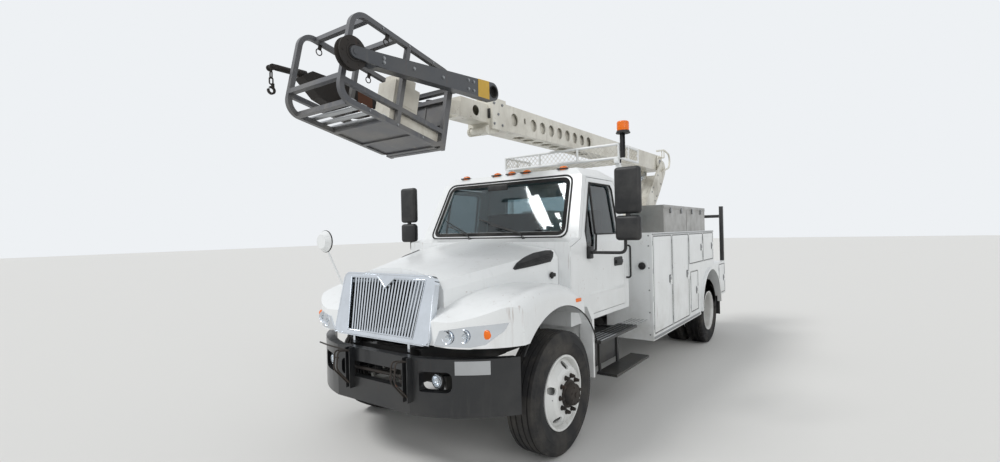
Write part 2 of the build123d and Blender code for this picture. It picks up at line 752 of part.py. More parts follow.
with BuildPart() as hood:
    add(hood_centre(0, hood_rear_x, hood_front_x))
    for side in (1, -1):
        add(fender(side, 0))
    add(nose_cut(0), mode=Mode.INTERSECT)
    add(hood_centre(hood_wall, hood_rear_x - 1, hood_front_x - hood_wall), mode=Mode.SUBTRACT)
    with BuildPart(mode=Mode.PRIVATE) as hood_hollow:
        for side in (1, -1):
            add(fender(side, hood_wall))
        add(nose_cut(hood_wall), mode=Mode.INTERSECT)
    add(hood_hollow.part, mode=Mode.SUBTRACT)
    # Tubs that carry the headlamps
    with BuildPart(mode=Mode.PRIVATE) as lamp_tubs:
        for side in (1, -1):
            add(fender(side, 1))
        add(nose_cut(1), mode=Mode.INTERSECT)
        add(nose_cut(lamp_depth + hood_wall), mode=Mode.SUBTRACT)
        add(lamp_block(hood_wall), mode=Mode.INTERSECT)
    add(lamp_tubs.part)
    with BuildPart(mode=Mode.PRIVATE) as lamp_pockets:
        add(lamp_block(running_gap))
        add(nose_cut(lamp_depth + running_gap), mode=Mode.SUBTRACT)
    add(lamp_pockets.part, mode=Mode.SUBTRACT)
    # Wheel arches
    cross_bar(front_axle_x, tyre_radius, arch_radius, fender_half_width + 20, -fender_half_width - 20,
              mode=Mode.SUBTRACT)
    # Air way behind the grille
    block(hood_front_x - 60, hood_front_x + 220, -grille_low_half_width, grille_low_half_width,
          grille_low_z - 10, grille_top_z - 30, mode=Mode.SUBTRACT)
    # Seat for the grille surround
    with BuildSketch(grille_plane.offset(-40 - running_gap)) as surround_seat:
        with BuildLine():
            Polyline(*on_grille(surround_outer), close=True)
        make_face()
        fillet(surround_seat.vertices().group_by(Axis.Z)[-1], radius=70)
        offset(amount=running_gap)
    extrude(surround_seat.sketch, amount=300, mode=Mode.SUBTRACT)
    # Round convex mirror on a stalk over the right fender
    with BuildSketch(Plane.YZ.offset(fender_mirror[0])) as mirror_bowl:
        with Locations(fender_mirror[1:]):
            Circle(105)
    extrude(mirror_bowl.sketch, amount=45, taper=38)
    slanted_bar((front_axle_x + 540, -1000, 1325), (fender_mirror[0] + 8, fender_mirror[1] + 20, 1745), 9)
hood.part.label = "hood"
export_step(hood.part, "parts/hood.step")

with BuildPart() as headlamps:
    add(lamp_block(0))
    add(nose_cut(0), mode=Mode.INTERSECT)
    add(nose_cut(lamp_depth), mode=Mode.SUBTRACT)
headlamps.part.label = "headlamps"
export_step(headlamps.part, "parts/headlamps.step")

# Grille bars and surround
with BuildPart() as grille:
    with BuildSketch(grille_plane.offset(-40)) as surround:
        with BuildLine():
            Polyline(*on_grille(surround_outer), close=True)
        make_face()
        fillet(surround.vertices().group_by(Axis.Z)[-1], radius=70)
        with BuildLine():
            Polyline(*on_grille(surround_inner), close=True)
        make_face(mode=Mode.SUBTRACT)
    extrude(amount=52)
    bar_count_half = grille_bar_count // 2
    for index in range(-bar_count_half, bar_count_half + 1):
        top_y = index * 2 * grille_top_half_width / (grille_bar_count + 1)
        low_y = index * 2 * grille_low_half_width / (grille_bar_count + 1)
        half = grille_bar_width / 2
        with BuildSketch(grille_plane.offset(-22)) as bar:
            with BuildLine():
                Polyline(*on_grille(((top_y - half, grille_top_z + 4), (top_y + half, grille_top_z + 4),
                                     (low_y + half, grille_low_z - 4), (low_y - half, grille_low_z - 4))),
                         close=True)
            make_face()
        extrude(bar.sketch, amount=grille_bar_depth)
    # Hinge ears under the surround
    for side in (1, -1):
        y_low, y_high = sorted((side * (hood_ear_y - 24), side * hood_ear_y))
        block(hood_hinge_x - 20, hood_hinge_x + 20, y_low, y_high, hood_hinge_z - 22, 1020)
        cross_bar(hood_hinge_x, hood_hinge_z, hood_pin_radius + running_gap, y_high + 2, y_low - 2,
                  mode=Mode.SUBTRACT)
grille.part.label = "grille"
export_step(grille.part, "parts/grille.step")

# Cab: hollow shell with windscreen, rear window and door openings
cab_side_outline = (
    (cab_front_x, cab_floor_z), (cab_front_x, hood_rear_top_z - 8), (screen_base_x, screen_base_z),
    (screen_top_x, screen_top_z), (screen_top_x - 90, cab_roof_z - 20), (cab_rear_x + 260, cab_roof_z),
    (cab_rear_x + 30, cab_roof_edge_z), (cab_rear_x, cab_belt_z), (cab_rear_x, cab_floor_z),
)
cab_side_hollow = (
    (cab_front_x - cab_wall, cab_floor_z + cab_wall), (cab_front_x - cab_wall, hood_rear_top_z - 68),
    (screen_base_x - 52, screen_base_z - 24), (screen_top_x - 40, screen_top_z - 16),
    (screen_top_x - 120, cab_roof_z - 66), (cab_rear_x + 250, cab_roof_z - 46),
    (cab_rear_x + 80, cab_roof_edge_z - 24), (cab_rear_x + cab_wall, cab_belt_z),
    (cab_rear_x + cab_wall, cab_floor_z + cab_wall),
)


def cab_front_outline(inset):
    """Front-view outline of the cab, moved in by inset."""
    belt = cab_half_width - inset
    edge = cab_roof_edge_half_width - inset
    low = cab_floor_z + inset
    return (
        (-belt, low), (belt, low), (belt, cab_belt_z), (edge, cab_roof_edge_z - inset),
        (edge - 150, cab_roof_z + 14 - inset),
        (150 - edge, cab_roof_z + 14 - inset), (-edge, cab_roof_edge_z - inset), (-belt, cab_belt_z),
    )


def cab_volume(side_outline, inset):
    """Cab body between its side and front outlines."""
    with BuildPart() as volume:
        side_prism(side_outline, cab_half_width + 10, -cab_half_width - 10)
        front_prism(cab_front_outline(inset), cab_rear_x - 10, cab_front_x + 10, mode=Mode.INTERSECT)
    return volume.part


# Door outline: front edge follows the screen pillar, low corner clears the fender
door_outline = (
    (door_front_x, 1290), (door_front_x, 1690), (door_front_x - 235, cab_belt_z + 50),
    (front_axle_x - 970, 2385), (door_rear_x + 60, 2385), (door_rear_x, 2320), (door_rear_x, door_low_z),
    (front_axle_x - 800, door_low_z),
)
door_window = (
    (front_axle_x - 760, 1830), (front_axle_x - 1015, 2325), (front_axle_x - 1520, 2325),
    (front_axle_x - 1560, 2280), (front_axle_x - 1560, 1800), (front_axle_x - 1000, 1800),
    (front_axle_x - 960, 1640), (front_axle_x - 760, 1640),
)
# Window openings: half width and height at the sill, then at the head
windscreen_opening = (835.0, 1838.0, 765.0, 2368.0)
rear_window_opening = (640.0, 1840.0, 600.0, 2260.0)


def window_points(opening, inset):
    """Corners of a window opening, moved in by inset."""
    low_half, low_z, high_half, high_z = opening
    return ((-low_half + inset, low_z + inset), (low_half - inset, low_z + inset),
            (high_half - inset, high_z - inset), (-high_half + inset, high_z - inset))


with BuildPart() as cab_shell:
    add(cab_volume(cab_side_outline, 0))
    add(cab_volume(cab_side_hollow, cab_wall), mode=Mode.SUBTRACT)
    # Door openings on both sides
    side_prism(door_outline, cab_half_width + 20, 700, mode=Mode.SUBTRACT)
    side_prism(door_outline, -700, -cab_half_width - 20, mode=Mode.SUBTRACT)
    # Windscreen opening, square to the screen's rake
    front_prism(window_points(windscreen_opening, 0), screen_top_x - 120, screen_base_x + 20,
                mode=Mode.SUBTRACT)
    front_prism(window_points(rear_window_opening, 0), cab_rear_x - 20, cab_rear_x + 140,
                mode=Mode.SUBTRACT)
    # Splash panels behind the front wheels and sills under the doors
    for side in (1, -1):
        panel = [(front_axle_x - 640, 470), (front_axle_x - 610, 470), (front_axle_x - 600, 1000),
                 (front_axle_x - 500, 1145), (front_axle_x - 545, 1145), (front_axle_x - 640, 1060)]
        y_high, y_low = sorted((side * 1010, side * 1140), reverse=True)
        side_prism(panel, y_high, y_low)
        block(front_axle_x - 640, front_axle_x - 615, *sorted((side * 560, side * 1030)), 560, 1010)
    # Door hinge pins and the cab's mounts on the rails
    for side in (1, -1):
        for low_z, high_z in door_hinge_heights:
            upright_bar(door_axis_x, side * cab_half_width, door_pin_radius, low_z, high_z)
            y_low, y_high = sorted((side * (cab_half_width - 14), side * (cab_half_width + 4)))
            block(door_axis_x, door_axis_x + panel_gap + 6, y_low, y_high, low_z, high_z)
    for mount_x in (cab_front_x - 250, cab_rear_x + 150):
        for side in (1, -1):
            block(mount_x - 50, mount_x + 50, side * (rail_y - 40) - 38, side * (rail_y - 40) + 38,
                  rail_high_z, cab_floor_z + 5)
cab_shell.part.label = "cab_shell"
export_step(cab_shell.part, "parts/cab_shell.step")

# Fixed glass: raked windscreen and rear window
screen_rake = degrees(atan2(screen_base_x - screen_top_x, screen_top_z - screen_base_z))
screen_plane = Plane(origin=(screen_base_x, 0, screen_base_z), x_dir=(0, 1, 0),
                     z_dir=(cos(radians(screen_rake)), 0, sin(radians(screen_rake))))


with BuildPart() as windscreen:
    with BuildSketch(screen_plane.offset(-20)) as screen:
        Rectangle(2 * cab_half_width, 1600)
    extrude(screen.sketch, amount=-glass_thickness)
    front_prism(window_points(windscreen_opening, running_gap), screen_top_x - 120, screen_base_x + 20,
                mode=Mode.INTERSECT)
with BuildPart() as cab_glass:
    add(windscreen.part)
    front_prism(window_points(rear_window_opening, running_gap), cab_rear_x + 42,
                cab_rear_x + 42 + glass_thickness)
cab_glass.part.label = "cab_glass"
export_step(cab_glass.part, "parts/cab_glass.step")

# Seats, dashboard and steering wheel seen through the glass
wheel_centre = (front_axle_x - 930.0, 540.0, 1660.0)
wheel_tilt = 48.0
dash_back_x = front_axle_x - 790.0
seat_places = ((540, 230), (-420, 400))
with BuildPart() as cab_interior:
    for seat_y, seat_half in seat_places:
        seat_side = ((front_axle_x - 1130, 1330), (front_axle_x - 1130, 1460), (front_axle_x - 1480, 1440),
                     (front_axle_x - 1560, 2080), (front_axle_x - 1660, 2080), (front_axle_x - 1620, 1330))
        side_prism(seat_side, seat_y + seat_half, seat_y - seat_half)
        block(front_axle_x - 1560, front_axle_x - 1220, seat_y - 0.7 * seat_half, seat_y + 0.7 * seat_half,
              cab_floor_z + cab_wall, 1332)
    side_prism(((cab_front_x - cab_wall, 1300), (cab_front_x - cab_wall, 1660), (dash_back_x + 80, 1690),
                (dash_back_x, 1640), (dash_back_x, 1480), (dash_back_x + 120, 1300)), 955, -955)
    steering_plane = Plane(origin=wheel_centre, x_dir=(0, 1, 0),
                           z_dir=(-cos(radians(wheel_tilt)), 0, sin(radians(wheel_tilt))))
    with BuildSketch(steering_plane) as steering_rim:
        Circle(225)
        Circle(203, mode=Mode.SUBTRACT)
        Rectangle(412, 34)
        Circle(45)
    extrude(steering_rim.sketch, amount=22)
    with BuildSketch(steering_plane) as column:
        Circle(30)
    extrude(column.sketch, amount=-210)
cab_interior.part.label = "cab_interior"
export_step(cab_interior.part, "parts/cab_interior.step")


# Cab door, its glass and its mirrors, left side


def outline_part(points, inset, low_inset, high_inset):
    """Piece of the cab's left side over an outline moved in by inset."""
    with BuildPart() as piece:
        with BuildSketch(Plane.XZ.offset(-cab_half_width - 10)) as outline:
            with BuildLine():
                Polyline(*points, close=True)
            make_face()
            if inset:
                offset(amount=-inset, kind=Kind.INTERSECTION)
        extrude(outline.sketch, amount=340)
        outer = cab_front_outline(low_inset)
        inner = cab_front_outline(high_inset)
        front_prism((inner[1], (outer[1][0], inner[1][1]), outer[2], outer[3], inner[3], inner[2]),
                    cab_rear_x - 10, cab_front_x + 10, mode=Mode.INTERSECT)
    return piece.part


mirror_y = 1440.0
mirror_x = front_axle_x - 770.0
with BuildPart() as door:
    add(outline_part(door_outline, panel_gap, 0, cab_wall))
    with BuildSketch(Plane.XZ.offset(-cab_half_width - 10)) as window_outline:
        with BuildLine():
            Polyline(*door_window, close=True)
        make_face()
    extrude(window_outline.sketch, amount=400, mode=Mode.SUBTRACT)
    for low_z, high_z in door_hinge_heights:
        upright_bar(door_axis_x, cab_half_width, door_pin_radius + running_gap, low_z - 1, high_z + 1,
                    mode=Mode.SUBTRACT)
mirrored["door"] = door

with BuildPart() as door_glass:
    add(outline_part(door_window, 1.0, 0.5 * cab_wall, 0.5 * cab_wall + glass_thickness))
mirrored["door_glass"] = door_glass

with BuildPart() as mirror_set:
    # Main and wide-angle heads on a loop arm from the door
    block(mirror_x - 55, mirror_x + 25, mirror_y - 125, mirror_y + 125, 1985, 2420)
    block(mirror_x - 50, mirror_x + 30, mirror_y - 115, mirror_y + 125, 1740, 1975)
    block(mirror_x - 12, mirror_x + 12, mirror_y - 12, mirror_y + 12, 1970, 1990)
    with BuildLine(Plane.YZ.offset(mirror_x - 10)) as arm_path:
        FilletPolyline((cab_half_width + running_gap, 1625), (mirror_y - 30, 1625),
                       (mirror_y - 30, 1750), radius=60)
    with BuildSketch(Plane(arm_path.wire() @ 0, z_dir=arm_path.wire() % 0)):
        Circle(13)
    sweep(path=arm_path.wire())
    block(mirror_x - 50, mirror_x + 20, cab_half_width + running_gap, cab_half_width + 40, 1570, 1680)
mirrored["mirror"] = mirror_set

# Steps and boxes under the cab
upper_step_z = 780.0
lower_step_z = 370.0
step_outer_y = 1150.0
with BuildPart() as battery_step:
    block(front_axle_x - 1690, front_axle_x - 800, rail_y + 12, 930, 430, 745)
    block(front_axle_x - 1700, front_axle_x - 760, 930, step_outer_y, upper_step_z - 26, upper_step_z)
    block(front_axle_x - 2060, front_axle_x - 1120, 930, step_outer_y, lower_step_z - 26, lower_step_z)
    for step_x in (front_axle_x - 1640, front_axle_x - 1180):
        block(step_x - 20, step_x + 20, 925, 945, lower_step_z - 26, upper_step_z - 20)
    block(front_axle_x - 1660, front_axle_x - 1610, rail_y + running_gap, 930, 700, 760)
    block(front_axle_x - 890, front_axle_x - 840, rail_y + running_gap, 930, 700, 760)
battery_step.part.label = "battery_step"
export_step(battery_step.part, "parts/battery_step.step")

with BuildPart() as fuel_tank:
    with BuildSketch(Plane.YZ.offset(front_axle_x - 1980)) as tank_section:
        with Locations((-760, 600)):
            RectangleRounded(560, 400, 120)
    extrude(tank_section.sketch, amount=1080)
    for strap_x in (front_axle_x - 1800, front_axle_x - 1120):
        block(strap_x - 30, strap_x + 30, -1000, -rail_y - running_gap, 790, 815)
    block(front_axle_x - 1900, front_axle_x - 800, -step_outer_y, -1000, upper_step_z - 26, upper_step_z)
    block(front_axle_x - 1900, front_axle_x - 1000, -step_outer_y, -980, 560, 586)
fuel_tank.part.label = "fuel_tank"
export_step(fuel_tank.part, "parts/fuel_tank.step")

# Service body side pack: outline, wheel arch and compartments
upper_low_z = 1320.0
full_low_z = 600.0
door_thickness = 30.0
locker_pin_radius = 6.0
locker_axis_y = body_half_width - 1
# Compartments: name, front edge, rear edge, bottom, top
compartments = (
    ("locker_front", body_front_x - 30, front_axle_x - 2844, full_low_z, 1760),
    ("locker_middle", front_axle_x - 2858, front_axle_x - 3615, full_low_z, 1760),
    ("locker_over_wheel", front_axle_x - 3630, front_axle_x - 4395, upper_low_z, 1760),
    ("locker_rear_upper", front_axle_x - 4405, front_axle_x - 5050, upper_low_z, 1760),
    ("locker_narrow", front_axle_x - 3675, front_axle_x - 4090, 630, 1215),
    ("locker_rear_lower", front_axle_x - 5430, front_axle_x - 5870, 700, 1205),
)
body_outline = (
    (body_front_x, body_low_z), (body_front_x, body_top_z), (body_upper_rear_x, body_top_z),
    (body_upper_rear_x, body_shelf_z), (body_rear_x, body_shelf_z), (body_rear_x, 670),
    (rear_axle_x - 560, 670), (rear_axle_x - 560, body_low_z + 60), (rear_axle_x - 450, body_low_z),
)
with BuildPart() as body_side:
    side_prism(body_outline, body_half_width, body_inner_y)
    cross_bar(rear_axle_x, tyre_radius + 75, body_arch_radius, body_half_width + 5, body_inner_y - 5,
              mode=Mode.SUBTRACT)
    block(rear_axle_x - body_arch_radius + 20, rear_axle_x + body_arch_radius - 20, body_inner_y - 5,
          body_half_width + 5, body_low_z - 5, tyre_radius + 75, mode=Mode.SUBTRACT)
    for name, front_x, rear_x, low_z, high_z in compartments:
        block(rear_x, front_x, body_half_width - door_thickness, body_half_width + 5, low_z, high_z,
              mode=Mode.SUBTRACT)
        depth = body_half_width - body_inner_y - body_wall
        block(rear_x + 25, front_x - 25, body_half_width - depth, body_half_width + 5,
              low_z + 25, high_z - 25, mode=Mode.SUBTRACT)
        hinge_pins(front_x - panel_gap, locker_axis_y, locker_pin_radius,
                   ((low_z + 70, low_z + 120), (high_z - 120, high_z - 70)))
    # Rolled flare around the wheel arch
    with BuildSketch(Plane.XZ.offset(-body_half_width - 38)) as flare:
        with Locations((rear_axle_x, tyre_radius + 75)):
            Circle(body_arch_radius + 30)
            Circle(body_arch_radius, mode=Mode.SUBTRACT)
            with Locations((0, -body_arch_radius)):
                Rectangle(3 * body_arch_radius, 2 * body_arch_radius, mode=Mode.SUBTRACT)
    extrude(flare.sketch, amount=60)
mirrored["body_side"] = body_side

# Compartment doors, hinged at their front edges, with a paddle latch
for name, front_x, rear_x, low_z, high_z in compartments:
    with BuildPart() as locker_door:
        block(rear_x + panel_gap, front_x - panel_gap, body_half_width - door_thickness + running_gap,
              body_half_width - 1, low_z + panel_gap, high_z - panel_gap)
        latch_z = 0.5 * (low_z + high_z)
        block(rear_x + 30, rear_x + 90, body_half_width - 2, body_half_width + 8, latch_z - 55, latch_z + 55)
        for pin_low_z in (low_z + 69, high_z - 121):
            upright_bar(front_x - panel_gap, locker_axis_y, locker_pin_radius + running_gap, pin_low_z,
                        pin_low_z + 52, mode=Mode.SUBTRACT)
    mirrored[name] = locker_door

# Deck between the side packs, with bulkheads, subframe, tail and rear post
with BuildPart() as body_deck:
    block(body_rear_x, body_front_x, -body_inner_y, body_inner_y, deck_low_z, deck_high_z)
    block(body_front_x - 40, body_front_x, -body_inner_y, body_inner_y, deck_high_z, body_top_z)
    for side in (1, -1):
        block(body_rear_x + 10, body_front_x - 10, side * 390 - 38, side * 390 + 38, rail_high_z, deck_low_z)
    # Tail board with lamp panels
    block(body_rear_x - 30, body_rear_x, -body_half_width, body_half_width, 760, 1120)
    for offset_x in (2200, 3300, 4100, 5500):
        block(front_axle_x - offset_x - 35, front_axle_x - offset_x + 35, -body_inner_y, body_inner_y,
              deck_low_z - 45, deck_low_z)
    # Rear post with its crossbar
    for side in (1, -1):
        y_low, y_high = sorted((side * 1120, side * 1180))
        block(body_rear_x - 70, body_rear_x - 10, y_low, y_high, 1000, 2210)
    block(body_rear_x - 65, body_rear_x - 15, -1130, 1130, 2010, 2060)
    # Pedestal that carries the turret
    with BuildSketch(Plane.XY.offset(deck_high_z)) as pedestal_foot:
        with Locations((slew_x, 0)):
            Rectangle(900, 900)
    extrude(pedestal_foot.sketch, amount=16)
    with BuildSketch(Plane.XY.offset(deck_high_z)) as pedestal_wall:
        with Locations((slew_x, 0)):
            RectangleRounded(640, 640, 160)
    extrude(pedestal_wall.sketch, amount=turntable_low_z - deck_high_z - 60, taper=3)
    upright_bar(slew_x, 0, 330, turntable_low_z - 62, turntable_low_z - running_gap)
body_deck.part.label = "body_deck"
export_step(body_deck.part, "parts/body_deck.step")

with BuildPart() as top_boxes:
    for side in (1, -1):
        y_low, y_high = sorted((side * top_box_inner_y, side * top_box_outer_y))
        block(top_box_rear_x, top_box_front_x, y_low, y_high, body_top_z, top_box_high_z)
        for lid_seam in (0.33, 0.66):
            seam_x = top_box_rear_x + lid_seam * (top_box_front_x - top_box_rear_x)
            block(seam_x - 3, seam_x + 3, y_low, y_high, top_box_high_z - 4, top_box_high_z,
                  mode=Mode.SUBTRACT)
top_boxes.part.label = "top_boxes"
export_step(top_boxes.part, "parts/top_boxes.step")

# Cab guard: framed mesh rack on posts behind the cab, with side returns
guard_x = front_axle_x - 2050.0
guard_low_z = boom_z - 370
guard_high_z = boom_z - 175
guard_half_width = 850.0
guard_return = 640.0
guard_tube = 32.0
with BuildPart() as cab_guard:
    for z in (guard_low_z, guard_high_z - guard_tube):
        block(guard_x - guard_tube, guard_x, -guard_half_width, guard_half_width, z, z + guard_tube)
        for side in (1, -1):
            y_low, y_high = sorted((side * guard_half_width, side * (guard_half_width - guard_tube)))
            block(guard_x - guard_return, guard_x, y_low, y_high, z, z + guard_tube)
    post_limit = guard_half_width - guard_tube / 2
    for post_y in (-post_limit, -500, -150, 150, 500, post_limit):
        block(guard_x - guard_tube, guard_x, post_y - 16, post_y + 16, guard_low_z, guard_high_z)
    for side in (1, -1):
        y_low, y_high = sorted((side * guard_half_width, side * (guard_half_width - guard_tube)))
        block(guard_x - guard_return, guard_x - guard_return + guard_tube, y_low, y_high,
              guard_low_z, guard_high_z)
        block(guard_x - 24, guard_x - 8, side * 430 - 380, side * 430 + 380,
              guard_low_z + 10, guard_high_z - 10)
        block(guard_x - guard_return + 20, guard_x - 20, (y_low + y_high) / 2 - 4, (y_low + y_high) / 2 + 4,
              guard_low_z + 10, guard_high_z - 10)
        # Posts down to the body
        block(guard_x - 110, guard_x - 50, side * 800 - 30, side * 800 + 30, body_top_z, guard_low_z + 10)
        block(guard_x - 80, guard_x - 10, side * 800 - 25, side * 800 + 25,
              guard_low_z - 50, guard_low_z + 10)
cab_guard.part.label = "cab_guard"
export_step(cab_guard.part, "parts/cab_guard.step")

beacon_x = front_axle_x - 2050.0
beacon_y = 900.0
beacon_low_z = boom_z - 60
with BuildPart() as beacon:
    with BuildSketch(Plane.XY.offset(beacon_low_z)) as beacon_base:
        with Locations((beacon_x, beacon_y)):
            Circle(74)
    extrude(beacon_base.sketch, amount=130, taper=3)
    block(beacon_x - 85, beacon_x + 85, beacon_y - 85, beacon_y + 85, beacon_low_z - 14, beacon_low_z)
    block(guard_x - 50, guard_x, guard_half_width + running_gap, beacon_y + 20,
          guard_low_z, beacon_low_z - 10)
beacon.part.label = "beacon"
export_step(beacon.part, "parts/beacon.step")

# Slewing turret
pin_radius = 38.0
turret_plate_inner = riser_half_width + 8
turret_plate_outer = turret_plate_inner + 30
with BuildPart() as turret:
    upright_bar(slew_x, 0, turntable_radius, turntable_low_z, turntable_high_z)
    for side in (1, -1):
        y_high, y_low = sorted((side * turret_plate_inner, side * turret_plate_outer), reverse=True)
        with BuildSketch(Plane.XZ.offset(-y_high)) as cheek:
            with Locations((slew_x, riser_pin_z)):
                Circle(130)
            with Locations((slew_x - 230, turntable_high_z + 12), (slew_x + 290, turntable_high_z + 12)):
                Circle(20)
            make_hull()
        extrude(cheek.sketch, amount=30)
        # Lug plates of the lift cylinder's base pin
        y_high, y_low = sorted((side * 52, side * 72), reverse=True)
        capsule_plate(cylinder_base_x, cylinder_base_z, cylinder_base_x - 140, turntable_high_z + 10, 55, 60,
                      y_high, y_low)
    cross_bar(slew_x, riser_pin_z, pin_radius, turret_plate_outer + 18, -turret_plate_outer - 18)
    cross_bar(cylinder_base_x, cylinder_base_z, 25, 84, -84)
turret.part.label = "turret"
export_step(turret.part, "parts/turret.step")

# Riser: box arm that leans rearward, forked at its upper end
riser_length = hypot(elbow_x - slew_x, elbow_z - riser_pin_z)
along_x = (elbow_x - slew_x) / riser_length
along_z = (elbow_z - riser_pin_z) / riser_length
out_x = along_z
out_z = -along_x


def on_riser(along, out):
    """Point along the riser from its lower pin, and out from its middle line."""
    return slew_x + along * along_x + out * out_x, riser_pin_z + along * along_z + out * out_z


riser_box_length = riser_box_share * riser_length
half_depth = riser_depth / 2
with BuildPart() as riser:
    cross_bar(slew_x, riser_pin_z, half_depth - 10, riser_half_width, -riser_half_width)
    side_prism((on_riser(0, half_depth - 10), on_riser(riser_box_length, half_depth),
                on_riser(riser_box_length, -half_depth), on_riser(0, -half_depth + 10)),
               riser_half_width, -riser_half_width)
    # Fork plates outside the elbow link
    for side in (1, -1):
        y_low, y_high = sorted((side * riser_half_width, side * (riser_half_width - riser_plate)))
        with BuildSketch(Plane.XZ.offset(-y_high)) as fork:
            with Locations((elbow_x, elbow_z)):
                Circle(150)
            with Locations(on_riser(riser_box_length - 30, half_depth - 12),
                           on_riser(riser_box_length - 30, -half_depth + 12)):
                Circle(12)
            make_hull()
        extrude(fork.sketch, amount=riser_plate)
    # Cylinder lug on the front face
    with BuildSketch(Plane.XZ.offset(-22)) as lug:
        with Locations(on_riser(cylinder_lug_along, cylinder_lug_out)):
            Circle(30)
        with Locations(on_riser(cylinder_lug_along - 110, half_depth - 10),
                       on_riser(cylinder_lug_along + 110, half_depth - 10)):
            Circle(8)
        make_hull()
    extrude(lug.sketch, amount=44)
    for pin_x, pin_z in ((slew_x, riser_pin_z), (elbow_x, elbow_z)):
        cross_bar(pin_x, pin_z, pin_radius + running_gap, riser_half_width + 5, -riser_half_width - 5,
                  mode=Mode.SUBTRACT)
riser.part.label = "riser"
export_step(riser.part, "parts/riser.step")

# Lift cylinder between the turret's lugs and the riser's lug
eye_x, eye_z = on_riser(cylinder_lug_along, cylinder_lug_out)
cylinder_length = hypot(eye_x - cylinder_base_x, eye_z - cylinder_base_z)
cylinder_dir_x = (eye_x - cylinder_base_x) / cylinder_length
cylinder_dir_z = (eye_z - cylinder_base_z) / cylinder_length
cylinder_plane = Plane(origin=(cylinder_base_x, 0, cylinder_base_z), x_dir=(0, 1, 0),
                       z_dir=(cylinder_dir_x, 0, cylinder_dir_z))
barrel_length = 590.0
with BuildPart() as lift_barrel:
    cross_bar(cylinder_base_x, cylinder_base_z, 48, 44, -44)
    with BuildSketch(cylinder_plane.offset(30)) as barrel_section:
        Circle(barrel_radius)
    extrude(barrel_section.sketch, amount=barrel_length - 30)
    cross_bar(cylinder_base_x, cylinder_base_z, 25 + running_gap, 50, -50, mode=Mode.SUBTRACT)
    with BuildSketch(cylinder_plane.offset(120)) as barrel_bore:
        Circle(rod_radius + running_gap)
    extrude(barrel_bore.sketch, amount=barrel_length, mode=Mode.SUBTRACT)
lift_barrel.part.label = "lift_barrel"
export_step(lift_barrel.part, "parts/lift_barrel.step")

with BuildPart() as lift_rod:
    rod_head = cylinder_length - 90
    with BuildSketch(cylinder_plane.offset(barrel_length - 60)) as rod_section:
        Circle(rod_radius)
    extrude(rod_section.sketch, amount=rod_head - barrel_length + 60)
    with BuildSketch(cylinder_plane.offset(rod_head - 20)) as clevis_block:
        Rectangle(100, 70)
    extrude(clevis_block.sketch, amount=150)
    with BuildSketch(cylinder_plane.offset(rod_head)) as clevis_slot:
        Rectangle(60, 80)
    extrude(clevis_slot.sketch, amount=150, mode=Mode.SUBTRACT)
lift_rod.part.label = "lift_rod"
export_step(lift_rod.part, "parts/lift_rod.step")

# Elbow link keeps the boom level as the riser moves
link_outer = riser_half_width - riser_plate - 5
link_inner = boom_half_width + 8
with BuildPart() as elbow_link:
    for side in (1, -1):
        y_high, y_low = sorted((side * link_inner, side * link_outer), reverse=True)
        capsule_plate(elbow_x, elbow_z, boom_pin_x, boom_z, 130, 135, y_high, y_low)
    cross_bar(elbow_x, elbow_z, pin_radius, riser_half_width + 12, link_inner)
    cross_bar(elbow_x, elbow_z, pin_radius, -link_inner, -riser_half_width - 12)
    cross_bar(boom_pin_x, boom_z, pin_radius, link_outer, -link_outer)
    # Hose guard loop at the left of the elbow
    guard_y = riser_half_width + 32
    with BuildLine(Plane.XZ.offset(-guard_y)) as loop_path:
        FilletPolyline((boom_pin_x + 330, boom_z + 175), (boom_pin_x - 60, boom_z + 240),
                       (boom_pin_x - 460, boom_z + 175), (boom_pin_x - 330, boom_z - 70),
                       (boom_pin_x + 20, boom_z - 160), radius=(250, 130, 110))
    with BuildSketch(Plane(loop_path.wire() @ 0, z_dir=loop_path.wire() % 0)):
        Circle(17)
    sweep(path=loop_path.wire())
    for standoff_x in (boom_pin_x - 70, boom_pin_x + 60):
        cross_bar(standoff_x, boom_z + 100, 13, guard_y, link_inner + 4)
        upright_bar(standoff_x, guard_y, 10, boom_z + 94, boom_z + 230)
elbow_link.part.label = "elbow_link"
export_step(elbow_link.part, "parts/elbow_link.step")

